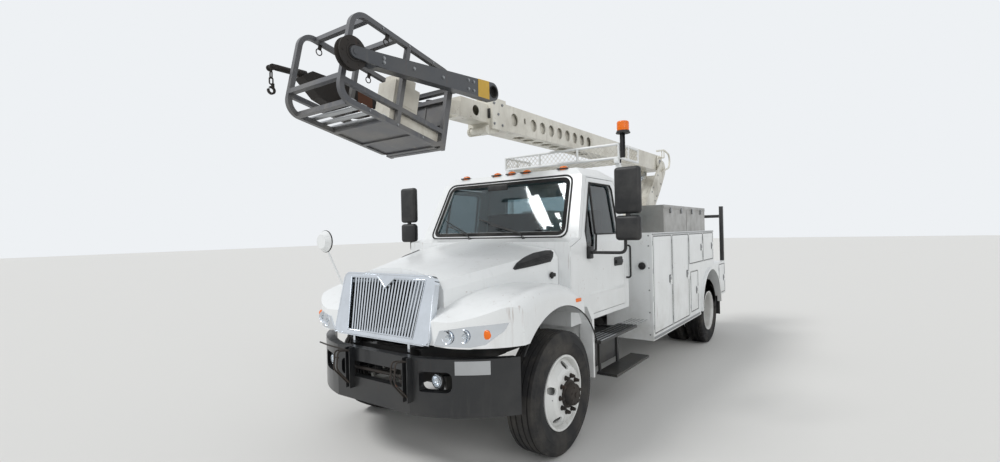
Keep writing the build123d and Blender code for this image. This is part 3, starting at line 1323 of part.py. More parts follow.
# Outer boom: square tube with a row of lightening holes, closed by a slide collar
boom_low_z = boom_z - boom_depth / 2
boom_high_z = boom_z + boom_depth / 2
first_hole_x = front_axle_x - 870.0
with BuildPart() as boom_outer:
    block(boom_rear_x, boom_front_x, -boom_half_width, boom_half_width, boom_low_z, boom_high_z)
    block(boom_rear_x - 5, boom_front_x + 5, -boom_half_width + boom_wall, boom_half_width - boom_wall,
          boom_low_z + boom_wall, boom_high_z - boom_wall, mode=Mode.SUBTRACT)
    with BuildSketch(Plane.XZ.offset(-boom_half_width - 5)) as side_holes:
        with Locations((first_hole_x, boom_z)):
            Circle(boom_hole_radius)
        with Locations((first_hole_x - 210, boom_z + 20)):
            SlotOverall(70, 34, rotation=90)
        for index in range(boom_hole_count):
            with Locations((first_hole_x - 390 - index * boom_hole_pitch, boom_z)):
                Circle(boom_hole_radius)
    extrude(side_holes.sketch, amount=2 * boom_half_width + 10, mode=Mode.SUBTRACT)
    with BuildSketch(Plane.XY.offset(boom_low_z - 5)) as floor_holes:
        for index in range(boom_hole_count + 1):
            with Locations((first_hole_x - 285 - index * boom_hole_pitch, 0)):
                Circle(boom_hole_radius)
    extrude(floor_holes.sketch, amount=boom_wall + 10, mode=Mode.SUBTRACT)
    # Front collar, its wear pads close about the inner boom
    block(boom_front_x - 40, collar_front_x, -boom_half_width - 22, boom_half_width + 22, boom_low_z - 18,
          boom_high_z + 22)
    block(boom_front_x - 45, collar_front_x + 5, -inner_boom_half_width - running_gap,
          inner_boom_half_width + running_gap, boom_z - inner_boom_depth / 2 - running_gap,
          boom_z + inner_boom_depth / 2 + running_gap, mode=Mode.SUBTRACT)
    # Pivot sleeve and the roller under the front end
    cross_bar(boom_pin_x, boom_z, 70, boom_half_width, -boom_half_width)
    cross_bar(boom_pin_x, boom_z, pin_radius + running_gap, boom_half_width + 5, -boom_half_width - 5,
              mode=Mode.SUBTRACT)
    for side in (1, -1):
        y_high, y_low = sorted((side * 105, side * 125), reverse=True)
        capsule_plate(collar_front_x + 20, boom_low_z - 30, collar_front_x - 130, boom_low_z - 10, 45, 30,
                      y_high, y_low)
    cross_bar(collar_front_x + 20, boom_low_z - 30, 34, 106, -106)
boom_outer.part.label = "boom_outer"
export_step(boom_outer.part, "parts/boom_outer.step")

inner_front_x = front_axle_x - 20.0
inner_low_z = boom_z - inner_boom_depth / 2
inner_high_z = boom_z + inner_boom_depth / 2
with BuildPart() as boom_inner:
    block(inner_front_x - inner_boom_length, inner_front_x, -inner_boom_half_width, inner_boom_half_width,
          inner_low_z, inner_high_z)
    block(inner_front_x - inner_boom_length - 5, inner_front_x - 20,
          -inner_boom_half_width + inner_boom_wall, inner_boom_half_width - inner_boom_wall,
          inner_low_z + inner_boom_wall, inner_high_z - inner_boom_wall, mode=Mode.SUBTRACT)
    cross_bar(front_axle_x - 250, boom_z, 52, inner_boom_half_width + 5, -inner_boom_half_width - 5,
              mode=Mode.SUBTRACT)
    # Fork at the tip for the platform pin
    for side in (1, -1):
        y_low, y_high = sorted((side * inner_boom_half_width, side * (inner_boom_half_width - 24)))
        capsule_plate(platform_pin_x, platform_pin_z, inner_front_x - 60, boom_z - 20, 60, 70, y_high, y_low)
    cross_bar(platform_pin_x, platform_pin_z, 24, inner_boom_half_width + 12, -inner_boom_half_width - 12)
    # Wear shoes at the tail, inside the outer boom
    tail_x = inner_front_x - inner_boom_length
    block(tail_x, tail_x + 160, -60, 60, inner_high_z - 1, boom_high_z - boom_wall - running_gap)
    block(tail_x, tail_x + 160, -60, 60, boom_low_z + boom_wall + running_gap, inner_low_z + 1)
boom_inner.part.label = "boom_inner"
export_step(boom_inner.part, "parts/boom_inner.step")

# Platform basket: welded square tube, pitched nose up
pitch = radians(basket_pitch)
basket_plane = Plane(origin=(basket_rear_x, 0, basket_mid_z), x_dir=(cos(pitch), 0, sin(pitch)),
                     z_dir=(0, -1, 0))


def in_basket(along, up):
    """Place in the truck of a point measured along and up from the basket's rear."""
    return (basket_rear_x + along * cos(pitch) - up * sin(pitch),
            basket_mid_z + along * sin(pitch) + up * cos(pitch))


def basket_prism(points, y_high, y_low, mode=Mode.ADD):
    """Outline in the basket's own length and height, thick across the truck."""
    side_prism([in_basket(along, up) for along, up in points], y_high, y_low, mode=mode)


def basket_bar(along_low, along_high, y_low, y_high, up_low, up_high, mode=Mode.ADD):
    """Straight bar square to the basket."""
    basket_prism(((along_low, up_low), (along_high, up_low), (along_high, up_high), (along_low, up_high)),
                 y_high, y_low, mode=mode)


half_height = basket_height / 2
tube = basket_tube
post_along = 520.0
with BuildPart() as basket:
    for side in (1, -1):
        y_high = basket_half_width if side > 0 else -basket_half_width + tube
        with BuildSketch(basket_plane.offset(-y_high)) as hoop:
            with Locations((basket_length / 2, 0)):
                RectangleRounded(basket_length, basket_height, basket_corner_radius)
                RectangleRounded(basket_length - 2 * tube, basket_height - 2 * tube,
                                 basket_corner_radius - tube, mode=Mode.SUBTRACT)
        extrude(hoop.sketch, amount=tube)
        y_low = y_high - tube
        # Rear upright and mid rail
        basket_bar(0, 60, y_low, y_high, -half_height, half_height - 60)
        basket_bar(tube / 2, basket_length - tube / 2, y_low, y_high,
                   -half_height + 130, -half_height + 130 + tube)
        basket_bar(post_along, post_along + tube, y_low, y_high, -half_height + 1, half_height - 1)
    inside = basket_half_width - tube + 1
    # Cross tubes: floor, top and front
    for along in (60, 330, 620, 960):
        basket_bar(along, along + tube, -inside, inside, -half_height, -half_height + tube)
    for along in (160, 640, 920):
        basket_bar(along, along + tube, -inside, inside, half_height - tube, half_height)
    basket_bar(basket_length - tube, basket_length, -inside, inside,
               -half_height + 150, -half_height + 150 + tube)
    # Rear bulkhead frame with its panels
    for up in (-half_height, -130, 90, half_height - 170):
        basket_bar(10, 50, -inside, inside, up, up + tube)
    basket_bar(18, 24, -inside, inside, -half_height + 20, 110)
    basket_bar(60, basket_length * 0.55, -inside, inside, -half_height + 12, -half_height + 18)
    # Bracket to the boom tip pin
    for side in (1, -1):
        y_low, y_high = sorted((side * (inner_boom_half_width - 30), side * (inner_boom_half_width - 50)))
        with BuildSketch(Plane.XZ.offset(-y_high)) as bracket:
            with Locations((platform_pin_x, platform_pin_z)):
                Circle(50)
            with Locations(in_basket(20, -120), in_basket(20, 150)):
                Circle(10)
            make_hull()
        extrude(bracket.sketch, amount=20)
    cross_bar(platform_pin_x, platform_pin_z, 24 + running_gap, 300, -300, mode=Mode.SUBTRACT)
basket.part.label = "basket"
export_step(basket.part, "parts/basket.step")

# Control console inside the basket
with BuildPart() as console:
    basket_bar(300, 560, 60, 260, -half_height + 160, 60)
    basket_bar(340, 520, 80, 240, 60, 130)
    basket_bar(60, 600, 60, 290, -half_height + tube + running_gap, -half_height + 160)
console.part.label = "console"
export_step(console.part, "parts/console.step")

# Side arm with its sheave, outboard of the basket's left side
arm_rear = (front_axle_x - 30.0, boom_z + 65)
arm_knee = (front_axle_x + 330.0, boom_z + 50)
sheave_centre = (front_axle_x + 1500.0, boom_z)
arm_y_high = 480.0
arm_y_low = 395.0
with BuildPart() as side_arm:
    capsule_plate(*arm_rear, *arm_knee, 82, 72, arm_y_high, arm_y_low)
    capsule_plate(*arm_knee, sheave_centre[0] - 190, sheave_centre[1], 72, 52, arm_y_high, arm_y_low)
    for y_high, y_low in ((arm_y_high + 10, arm_y_high - 6), (arm_y_low + 6, arm_y_low - 10)):
        capsule_plate(sheave_centre[0] - 230, sheave_centre[1], *sheave_centre, 50, 40, y_high, y_low)
    cross_bar(*sheave_centre, 20, arm_y_high + 14, arm_y_low - 14)
    cross_bar(arm_rear[0] - 5, arm_rear[1], 48, arm_y_high + 20, arm_y_low - 20, mode=Mode.SUBTRACT)
    # Standoffs to the basket frame
    for x in (front_axle_x + 395, front_axle_x + 915):
        block(x - 30, x + 30, basket_half_width + running_gap, arm_y_low + 2, boom_z - 15, boom_z + 45)
side_arm.part.label = "side_arm"
export_step(side_arm.part, "parts/side_arm.step")

with BuildPart() as sheave:
    sheave_mid_y = (arm_y_high + arm_y_low) / 2
    with BuildSketch(Plane.YZ.offset(sheave_centre[0])) as sheave_section:
        with BuildLine():
            Polyline(*[(sheave_mid_y + out, sheave_centre[1] + radius) for out, radius in (
                (-34, 20 + running_gap), (34, 20 + running_gap), (34, 34), (28, sheave_radius),
                (20, sheave_radius), (8, sheave_radius - 28), (-8, sheave_radius - 28),
                (-20, sheave_radius), (-28, sheave_radius), (-34, 34))], close=True)
        make_face()
    revolve(sheave_section.sketch, axis=Axis((sheave_centre[0], 0, sheave_centre[1]), (0, 1, 0)))
sheave.part.label = "sheave"
export_step(sheave.part, "parts/sheave.step")

# Jib at the right of the basket, with its hook
jib_y = -450.0
hook_x = front_axle_x + 1560.0
hook_pin_z = boom_z + 80
hook_pin_radius = 8.0
with BuildPart() as jib:
    side_prism(((front_axle_x + 370, boom_z - 130), (front_axle_x + 370, boom_z + 50),
                (front_axle_x + 1240, boom_z + 120), (front_axle_x + 1330, boom_z + 60),
                (front_axle_x + 1180, boom_z - 80), (front_axle_x + 900, boom_z - 180)),
               jib_y + 60, jib_y - 60)
    with BuildSketch(Plane.YZ.offset(front_axle_x + 1230)) as jib_rod:
        with Locations((jib_y, hook_pin_z + 10)):
            Circle(24)
    extrude(jib_rod.sketch, amount=290)
    # Fork with the hook's pin across it
    block(hook_x - 60, hook_x, jib_y - 28, jib_y + 28, hook_pin_z - 4, hook_pin_z + 24)
    cross_bar(hook_x, hook_pin_z, 24, jib_y + 28, jib_y - 28)
    block(hook_x - 34, hook_x + 30, jib_y - 14, jib_y + 14, hook_pin_z - 30, hook_pin_z + 30,
          mode=Mode.SUBTRACT)
    cross_bar(hook_x, hook_pin_z, hook_pin_radius, jib_y + 36, jib_y - 36)
    for x in (front_axle_x + 403, front_axle_x + 926):
        block(x - 30, x + 30, jib_y + 58, -basket_half_width - running_gap,
              boom_z - 70, boom_z)
jib.part.label = "jib"
export_step(jib.part, "parts/jib.step")

with BuildPart() as hook:
    block(hook_x - 7, hook_x + 7, jib_y - 8, jib_y + 8, hook_pin_z - 34, hook_pin_z)
    cross_bar(hook_x, hook_pin_z, 18, jib_y + 8, jib_y - 8)
    cross_bar(hook_x, hook_pin_z, hook_pin_radius + running_gap, jib_y + 12, jib_y - 12, mode=Mode.SUBTRACT)
    for link_index, link_z in enumerate((hook_pin_z - 55, hook_pin_z - 102)):
        width_plane = Plane.XZ.offset(-jib_y) if link_index % 2 else Plane.YZ.offset(hook_x)
        centre = (hook_x, link_z) if link_index % 2 else (jib_y, link_z)
        with BuildSketch(width_plane.offset(-4)) as link:
            with Locations(centre):
                SlotOverall(62, 36, rotation=90)
                SlotOverall(46, 20, rotation=90, mode=Mode.SUBTRACT)
        extrude(link.sketch, amount=8)
    with BuildSketch(Plane.XZ.offset(-jib_y - 8)) as hook_outline:
        with Locations((hook_x, hook_pin_z - 175)):
            Circle(32)
            Circle(17, mode=Mode.SUBTRACT)
            with Locations((22, 18)):
                Rectangle(24, 20, mode=Mode.SUBTRACT)
        with Locations((hook_x - 12, hook_pin_z - 140)):
            Rectangle(20, 40)
    extrude(hook_outline.sketch, amount=16)
hook.part.label = "hook"
export_step(hook.part, "parts/hook.step")

# Both sides of every mirrored piece
for name, left in mirrored.items():
    left.part.label = f"{name}_left"
    export_step(left.part, f"parts/{name}_left.step")
    with BuildPart() as right:
        mirror(left.part, about=Plane.XZ)
    right.part.label = f"{name}_right"
    export_step(right.part, f"parts/{name}_right.step")
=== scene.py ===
from math import atan2, cos, pi, radians, sin

import bpy
from mathutils import Matrix, Vector


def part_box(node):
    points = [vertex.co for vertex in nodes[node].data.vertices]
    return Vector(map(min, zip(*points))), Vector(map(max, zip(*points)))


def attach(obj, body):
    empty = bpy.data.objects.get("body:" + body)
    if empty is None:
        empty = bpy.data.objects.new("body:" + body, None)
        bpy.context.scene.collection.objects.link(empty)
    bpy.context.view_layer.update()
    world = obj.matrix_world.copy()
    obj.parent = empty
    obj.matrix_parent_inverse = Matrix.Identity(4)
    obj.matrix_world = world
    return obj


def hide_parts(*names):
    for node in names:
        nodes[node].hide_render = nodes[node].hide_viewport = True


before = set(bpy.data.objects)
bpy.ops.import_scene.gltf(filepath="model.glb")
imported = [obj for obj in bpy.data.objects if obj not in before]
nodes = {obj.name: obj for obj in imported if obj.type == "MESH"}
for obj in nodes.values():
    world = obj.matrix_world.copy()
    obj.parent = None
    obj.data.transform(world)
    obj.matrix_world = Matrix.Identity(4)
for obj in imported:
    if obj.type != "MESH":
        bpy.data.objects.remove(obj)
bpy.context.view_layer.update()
bpy.ops.object.select_all(action="DESELECT")
SIDES = (("left", 1), ("right", -1))
X, Y, Z = Vector((1, 0, 0)), Vector((0, 1, 0)), Vector((0, 0, 1))

# Places that the frame gives: stations are metres forward of the front axle
tyre_low, tyre_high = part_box("front_tyre_left")
FRONT_X = (tyre_low.x + tyre_high.x) / 2
WHEEL_R = (tyre_high.z - tyre_low.z) / 2
FRONT_TYRE_Y = (tyre_low.y + tyre_high.y) / 2
TYRE_W = tyre_high.y - tyre_low.y
twin_low, twin_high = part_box("rear_tyres_left")
REAR_X = (twin_low.x + twin_high.x) / 2
TWIN_OUT_Y = twin_high.y - TYRE_W / 2
TWIN_IN_Y = twin_low.y + TYRE_W / 2
CAB_HALF = 1.025


def at(station, y, z):
    """Point from its station ahead of the front axle, its side and its height."""
    return Vector((FRONT_X + station, y, z))


def side_points(y, places):
    """Points at one side, from (station, height) pairs."""
    return [at(s, y, z) for s, z in places]


def side_rectangle(y, s_low, s_high, z_low, z_high):
    return side_points(y, ((s_low, z_low), (s_high, z_low), (s_high, z_high), (s_low, z_high)))


def circle(centre, radius, count, shift=0.0, across=X, up=Z):
    """Points evenly round a circle, turning from across to up; shift is a share of a step."""
    turns = [2 * pi * (index + shift) / count for index in range(count)]
    return [Vector(centre) + (across * cos(t) + up * sin(t)) * radius for t in turns]


# Materials


def colour(hex_code):
    """Linear colour of an sRGB hex value."""
    parts = [int(hex_code[i : i + 2], 16) / 255 for i in (0, 2, 4)]
    return (*[c / 12.92 if c <= 0.04045 else ((c + 0.055) / 1.055) ** 2.4 for c in parts], 1)


def add_node(tree, kind, inputs=(), **settings):
    """Adds a node with its settings; each input is a value or the socket that feeds it."""
    made = tree.nodes.new(kind)
    for key, value in settings.items():
        setattr(made, key, value)
    for socket, value in dict(inputs).items():
        if isinstance(value, bpy.types.NodeSocket):
            tree.links.new(value, made.inputs[socket])
        else:
            made.inputs[socket].default_value = value
    return made


def new_material(name, metallic=0.0, roughness=0.5, **sockets):
    """Material with one Principled shader; returns it with its tree, shader and Object coordinates."""
    material = bpy.data.materials.new(name)
    material.use_nodes = True
    tree = material.node_tree
    shader = tree.nodes["Principled BSDF"]
    for socket, value in {"Metallic": metallic, "Roughness": roughness, **sockets}.items():
        shader.inputs[socket.replace("_", " ")].default_value = value
    place = add_node(tree, "ShaderNodeTexCoord").outputs["Object"]
    return material, tree, shader, place


def times(tree, a, b):
    return add_node(tree, "ShaderNodeMath", {0: a, 1: b}, operation="MULTIPLY").outputs[0]


def larger(tree, a, b):
    return add_node(tree, "ShaderNodeMath", {0: a, 1: b}, operation="MAXIMUM").outputs[0]


def ramp(tree, value, start, end, low=0.0, high=1.0):
    """Goes from low to high while value goes from start to end."""
    return add_node(tree, "ShaderNodeMapRange", {0: value, 1: start, 2: end, 3: low, 4: high}).outputs[0]


def noise(tree, place, size, detail, stretch=(1, 1, 1), roughness=0.5):
    """Noise whose features are about size millimetres across."""
    if stretch != (1, 1, 1):
        place = add_node(tree, "ShaderNodeMapping", {"Vector": place, "Scale": stretch}).outputs[0]
    inputs = {"Vector": place, "Scale": 1000 / size, "Detail": detail, "Roughness": roughness}
    return add_node(tree, "ShaderNodeTexNoise", inputs).outputs["Fac"]


def patches(tree, place, size, low, high, detail, stretch=(1, 1, 1)):
    """Share of a surface inside noise patches of size mm, soft between low and high."""
    return ramp(tree, noise(tree, place, size, detail, stretch, 0.6), low, high)


def mixed(tree, share, a, b):
    """Colour a turning to b by share."""
    return add_node(tree, "ShaderNodeMix", {0: share, 6: a, 7: b}, data_type="RGBA").outputs[2]


def relief(tree, shader, height, depth):
    """Bump of depth millimetres from a height pattern."""
    bump = add_node(tree, "ShaderNodeBump", {"Height": height, "Distance": depth / 1000, "Strength": 1.0})
    tree.links.new(bump.outputs[0], shader.inputs["Normal"])


def weathered(name, coat, grime, rust, grime_share, rust_share, roughness=0.32, metallic=0.0,
              road_z=(0.35, 1.25),
              coat_weight=0.3):
    """Sprayed enamel on steel: orange-peel gloss, rain streaks, road grime low down and rust at chips."""
    material, tree, shader, place = new_material(name, metallic, roughness, Coat_Weight=coat_weight,
                                                 Coat_Roughness=0.12)
    height = add_node(tree, "ShaderNodeSeparateXYZ", {0: place}).outputs["Z"]
    low_down = ramp(tree, height, road_z[1], road_z[0], 0.12)
    streak = patches(tree, place, 60, 0.52, 0.78, 5, (1, 1, 0.12))
    cloud = patches(tree, place, 420, 0.42, 0.72, 6)
    speck = patches(tree, place, 22, 0.60, 0.74, 3)
    dusty = larger(tree, streak, cloud)
    grimy = times(tree, times(tree, dusty, low_down), grime_share)
    film = larger(tree, grimy, times(tree, streak, 0.22 * grime_share))
    chipped = times(tree, times(tree, patches(tree, place, 160, 0.60, 0.68, 6), speck), rust_share)
    trails = patches(tree, place, 34, 0.60, 0.76, 4, (1, 1, 0.10))
    runs = times(tree, times(tree, trails, patches(tree, place, 500, 0.52, 0.64, 3)), rust_share * 0.7)
    painted = mixed(tree, film, colour(coat), colour(grime))
    rusted = mixed(tree, larger(tree, chipped, runs), painted, colour(rust))
    tree.links.new(rusted, shader.inputs["Base Color"])
    rough = ramp(tree, dusty, 0, 1, roughness, min(0.9, roughness + 0.22))
    tree.links.new(rough, shader.inputs["Roughness"])
    relief(tree, shader, noise(tree, place, 9, 1.0), 0.05)
    return material


BOOM_Z = (2.4, 3.6)
# White two-pack enamel on cab, hood and service body, dulled by rain streaks and road film
white_enamel = weathered("white_vehicle_enamel", "E9EBEB", "9C988C", "7A4422", 0.60, 0.75)
# The boom's older paint: creamier and dirtier, with rust runs below pins and holes
boom_enamel = weathered("aged_white_boom_enamel", "DEDBD0", "857C6C", "6E3B1C", 0.9, 1.3, 0.42,
                        road_z=(2.6, 3.4))
# Wheel enamel, chalky and stained by brake dust
wheel_enamel = weathered("chalky_white_wheel_enamel", "DEDFDD", "8C8478", "6B3C20", 0.7, 0.8, 0.45,
                         road_z=(0.0, 1.4))
# Satin black chassis and bumper paint greyed by dust
chassis_black = weathered("satin_black_chassis_paint", "17181A", "5B574F", "4A2C1A", 0.55, 0.5, 0.46)
bumper_black = weathered("satin_black_bumper_paint", "15171A", "4C4A46", "50301C", 0.40, 0.35, 0.34)
# Worn charcoal paint on the side arm
arm_charcoal = weathered("worn_charcoal_enamel", "3A3D42", "6E6B66", "5B3520", 0.5, 0.6, 0.42,
                         road_z=(2.6, 3.6))
# Basket tube: grey paint rubbed to dull steel
basket_grey = weathered("rubbed_grey_basket_paint", "55565A", "8D8981", "6A452C", 0.85, 0.8, 0.45, 0.35,
                        BOOM_Z)
# Scuffed white control box with rust bloom
console_white = weathered("rust_stained_white_box_paint", "DBD7CB", "9A8D79", "7E4826", 0.8, 1.6, 0.5, 0.0,
                          BOOM_Z)
# Safety yellow band, faded
faded_yellow = weathered("faded_safety_yellow_enamel", "CDA32C", "857A58", "6B4526", 0.6, 0.5, 0.5, 0.0,
                         BOOM_Z)
# Forged and cast parts, dark with brown rust
rusty_iron = weathered("dark_rusted_forging", "2A2725", "4E443B", "5C3520", 0.8, 1.8, 0.62, 0.3, (0.2, 3.6),
                       0.0)
# Scaled brown rust of the jib's band, dull and uneven
rust_brown = weathered("brown_rust_scale", "5E3B2A", "7A5A45", "3E251A", 0.7, 0.8, 0.75, 0.0, BOOM_Z, 0.0)


def metal(name, hex_code, roughness, grain_mm=0.0, stretch=(1, 1, 1), smear=0.15):
    """Bare or plated metal: bright reflection broken by a faint grain and smears."""
    material, tree, shader, place = new_material(name, 1.0, roughness)
    smudge = patches(tree, place, 180, 0.40, 0.75, 5)
    tint = mixed(tree, times(tree, smudge, smear), colour(hex_code), colour("6F6B64"))
    tree.links.new(tint, shader.inputs["Base Color"])
    tree.links.new(ramp(tree, smudge, 0, 1, roughness, roughness + 0.14), shader.inputs["Roughness"])
    if grain_mm:
        relief(tree, shader, noise(tree, place, grain_mm, 2.0, stretch), 0.04)
    return material


# Chromed plastic: mirror bright with a dust film
chrome = metal("chrome_plating", "D9DEE4", 0.07)
# Brushed stainless sheet, grain along the box
brushed_stainless = metal("brushed_stainless_sheet", "A9A8A5", 0.34, 6, (0.06, 1, 1), 0.35)
# Zinc-plated fasteners and rods
zinc = metal("zinc_plated_steel", "9A9C9E", 0.38)
# Mill-finish aluminium of tank, tread bars and blank plates
mill_aluminium = metal("mill_finish_aluminium", "B4B6B8", 0.36, 10)
# Silvered mirror glass
mirror_silver = metal("silvered_mirror_glass", "DDE3E8", 0.03, smear=0.02)


def plastic(name, hex_code, roughness, grain_mm=1.2, depth=0.05, dust="6C6A66", dust_share=0.25):
    """Moulded polymer with a fine grain and settled dust."""
    material, tree, shader, place = new_material(name, 0.0, roughness)
    settled_dust = times(tree, patches(tree, place, 240, 0.42, 0.75, 5), dust_share)
    tree.links.new(mixed(tree, settled_dust, colour(hex_code), colour(dust)), shader.inputs["Base Color"])
    relief(tree, shader, noise(tree, place, grain_mm * 4, 2.0), depth)
    return material


# Grained black polymer of mirrors, handles and trim
black_polymer = plastic("grained_black_polymer", "121315", 0.5)
# EPDM rubber of seals, lips, grommets and hood latches
rubber_seal = plastic("epdm_rubber", "101112", 0.7, 2.0, 0.03)
# Tyre rubber, greyed with gravel dust
tyre_rubber = plastic("tyre_rubber", "1A1A1B", 0.78, 3.0, 0.12, "5C5750", 0.55)
# Grey moulded cab trim
cab_trim = plastic("moulded_grey_cab_trim", "3A3B3D", 0.6, 1.6, 0.08, "4E4D4B", 0.2)
# Dark woven seat cloth, weave drawn at 4 mm so that it shows
seat_cloth = plastic("woven_seat_cloth", "2B2D31", 0.92, 1.0, 0.25, "3D3D3F", 0.3)
# Matt black of the windscreen's printed border, also used as painted shade in the grille's opening, the latch
# recesses and the side arm's port
black_print_and_painted_shade = plastic("matte_black_print_and_painted_shade", "070707", 0.9)


def lens(name, hex_code, roughness=0.06, transmission=0.75, ior=1.49, glow=0.0):
    """Clear moulded acrylic; the tint is in the base colour."""
    material, tree, shader, place = new_material(name, 0.0, roughness, IOR=ior,
                                                 Transmission_Weight=transmission)
    shader.inputs["Base Color"].default_value = colour(hex_code)
    if glow:
        shader.inputs["Emission Color"].default_value = colour(hex_code)
        shader.inputs["Emission Strength"].default_value = glow
    relief(tree, shader, noise(tree, place, 30, 1.0), 0.05)
    return material


# Amber and red acrylic lenses, and the clear polycarbonate of bulbs and work lamps
amber_lens = lens("amber_acrylic_lens", "F0790E", 0.12, 0.35, glow=0.12)
red_lens = lens("red_acrylic_lens", "A31313", 0.12, 0.35, glow=0.05)
clear_lens = lens("clear_polycarbonate_lens", "EEF1F2", 0.05, 0.9, 1.58)


def tinted_glass(name, hex_code, dust_share):
    """Float glass: a tinted clear pane with a dust film, whose gloss stays whole."""
    material, tree, shader, place = new_material(name, 0.0, 0.03, IOR=1.5, Transmission_Weight=1.0)
    dust = times(tree, patches(tree, place, 500, 0.45, 0.85, 6), dust_share)
    tree.links.new(mixed(tree, dust, colour(hex_code), colour("8E9698")), shader.inputs["Base Color"])
    return material


# Laminated windscreen and tempered door glass, lightly green-grey
windscreen_glass = tinted_glass("laminated_windscreen_glass", "AEBFC4", 0.3)
side_glass = tinted_glass("tinted_tempered_glass", "6F7C80", 0.2)

# Modelling tools


def alone(piece):
    """Makes piece the only selected and active object."""
    bpy.ops.object.select_all(action="DESELECT")
    piece.select_set(True)
    bpy.context.view_layer.objects.active = piece
    return piece


def linked(name, data):
    """A new object in the scene, the only selected one."""
    piece = bpy.data.objects.new(name, data)
    bpy.context.scene.collection.objects.link(piece)
    return alone(piece)


def mesh_object(name, verts, edges, faces):
    mesh = bpy.data.meshes.new(name)
    mesh.from_pydata(verts, edges, faces)
    return linked(name, mesh)


def settled(piece):
    """Moves a piece's place into its mesh."""
    alone(piece)
    bpy.ops.object.transform_apply(location=True, rotation=True, scale=True)
    return piece


def applied(piece, kind, **settings):
    """Adds a modifier with its settings and applies it."""
    alone(piece)
    modifier = piece.modifiers.new(kind.lower(), kind)
    for key, value in settings.items():
        setattr(modifier, key, value)
    bpy.ops.object.modifier_apply(modifier=modifier.name)
    return piece


def bevelled(piece, width, segments=2):
    return applied(piece, "BEVEL", width=width, segments=segments, limit_method="ANGLE",
                   angle_limit=radians(30))


def facing_out(piece):
    """Turns a piece's normals outward."""
    alone(piece)
    bpy.ops.object.mode_set(mode="EDIT")
    bpy.ops.mesh.select_all(action="SELECT")
    bpy.ops.mesh.normals_make_consistent(inside=False)
    bpy.ops.object.mode_set(mode="OBJECT")
    return piece


def box(corner, opposite, edge=0.0, segments=2):
    """Box between two opposite corners, its edges rounded by edge."""
    low, high = [Vector([pick(pair) for pair in zip(corner, opposite)]) for pick in (min, max)]
    bpy.ops.mesh.primitive_cube_add(size=1, location=(low + high) / 2)
    piece = bpy.context.object
    piece.scale = high - low
    settled(piece)
    return bevelled(piece, edge, segments) if edge else piece


def block(foot, low, high, edge):
    """Rounded box whose corners are counted from a foot."""
    return box(foot + Vector(low), foot + Vector(high), edge)


def rod(start, end, radius, sides=16, end_radius=None, edge=0.0):
    """Round bar or cone between two points."""
    start, end = Vector(start), Vector(end)
    run = end - start
    bpy.ops.mesh.primitive_cone_add(vertices=sides, radius1=radius,
                                    radius2=radius if end_radius is None else end_radius, depth=run.length,
                                    location=(start + end) / 2,
                                    rotation=run.to_track_quat("Z", "Y").to_euler())
    piece = settled(bpy.context.object)
    return bevelled(piece, edge) if edge else piece


def ball(centre, radius, squash=(1, 1, 1), segments=16):
    bpy.ops.mesh.primitive_uv_sphere_add(segments=segments, ring_count=segments // 2, radius=radius,
                                         location=centre)
    piece = bpy.context.object
    piece.scale = squash
    return settled(piece)


def swept(points, radius, sides=3, closed=False):
    """Tube of radius along points."""
    line = bpy.data.curves.new("line", "CURVE")
    line.dimensions = "3D"
    line.bevel_depth = radius
    line.bevel_resolution = sides
    line.use_fill_caps = True
    spline = line.splines.new("POLY")
    spline.points.add(len(points) - 1)
    for knot, point in zip(spline.points, points):
        knot.co = (*point, 1)
    spline.use_cyclic_u = closed
    linked("line", line)
    bpy.ops.object.convert(target="MESH")
    return bpy.context.object


def bend_points(points, bend, steps=5):
    """Path through points with each inner corner rounded by bend."""
    points = [Vector(p) for p in points]
    path = [points[0]]
    for before, corner, after in zip(points, points[1:], points[2:]):
        start, end = [corner + (p - corner).normalized() * bend for p in (before, after)]
        for t in (step / steps for step in range(steps + 1)):
            path.append(start * (1 - t) ** 2 + corner * 2 * t * (1 - t) + end * t**2)
    return [*path, points[-1]]


def bent(points, bend, radius, steps=5, sides=3):
    """Tube of radius along points with rounded corners."""
    return swept(bend_points(points, bend, steps), radius, sides)


def plate(points, thickness, outward, corner=0.0, ring=0.0, edge=0.0):
    """Flat plate over an outline, thick towards outward; ring keeps only a band of that width."""
    piece = mesh_object("outline", [Vector(p) for p in points], [], [range(len(points))])
    bpy.ops.object.mode_set(mode="EDIT")
    bpy.ops.mesh.select_all(action="SELECT")
    if piece.data.polygons[0].normal.dot(Vector(outward)) < 0:
        bpy.ops.mesh.flip_normals()
    if corner:
        bpy.ops.mesh.bevel(offset=corner, segments=4, affect="VERTICES")
        bpy.ops.mesh.select_all(action="SELECT")
    if ring:
        bpy.ops.mesh.inset(thickness=ring)
        bpy.ops.mesh.delete(type="FACE")
    bpy.ops.object.mode_set(mode="OBJECT")
    applied(piece, "SOLIDIFY", thickness=thickness, offset=1)
    return bevelled(piece, edge) if edge else piece


def strip(start, end, half, thickness, outward, edge):
    """Flat bar from start to end that reaches half to each side."""
    return plate([start + half, end + half, end - half, start - half], thickness, outward, edge=edge)


def turned(profile, centre, axis, steps=32):
    """Ring turned about an axis: profile holds (distance along the axis, radius)."""
    verts = [(radius, 0, along) for along, radius in profile]
    piece = mesh_object("profile", verts, [(i, i + 1) for i in range(len(profile) - 1)], [])
    applied(piece, "SCREW", angle=2 * pi, steps=steps, render_steps=steps, use_merge_vertices=True,
            merge_threshold=1e-5)
    facing_out(piece)
    turn = Vector(axis).to_track_quat("Z", "Y").to_matrix().to_4x4()
    piece.matrix_world = Matrix.Translation(Vector(centre)) @ turn
    return settled(piece)


def other_side(piece):
    """The same piece with its own mesh on the truck's right side."""
    twin = piece.copy()
    twin.data = piece.data.copy()
    bpy.context.scene.collection.objects.link(twin)
    twin.data.transform(Matrix.Scale(-1, 4, Y))
    twin.data.flip_normals()
    return twin


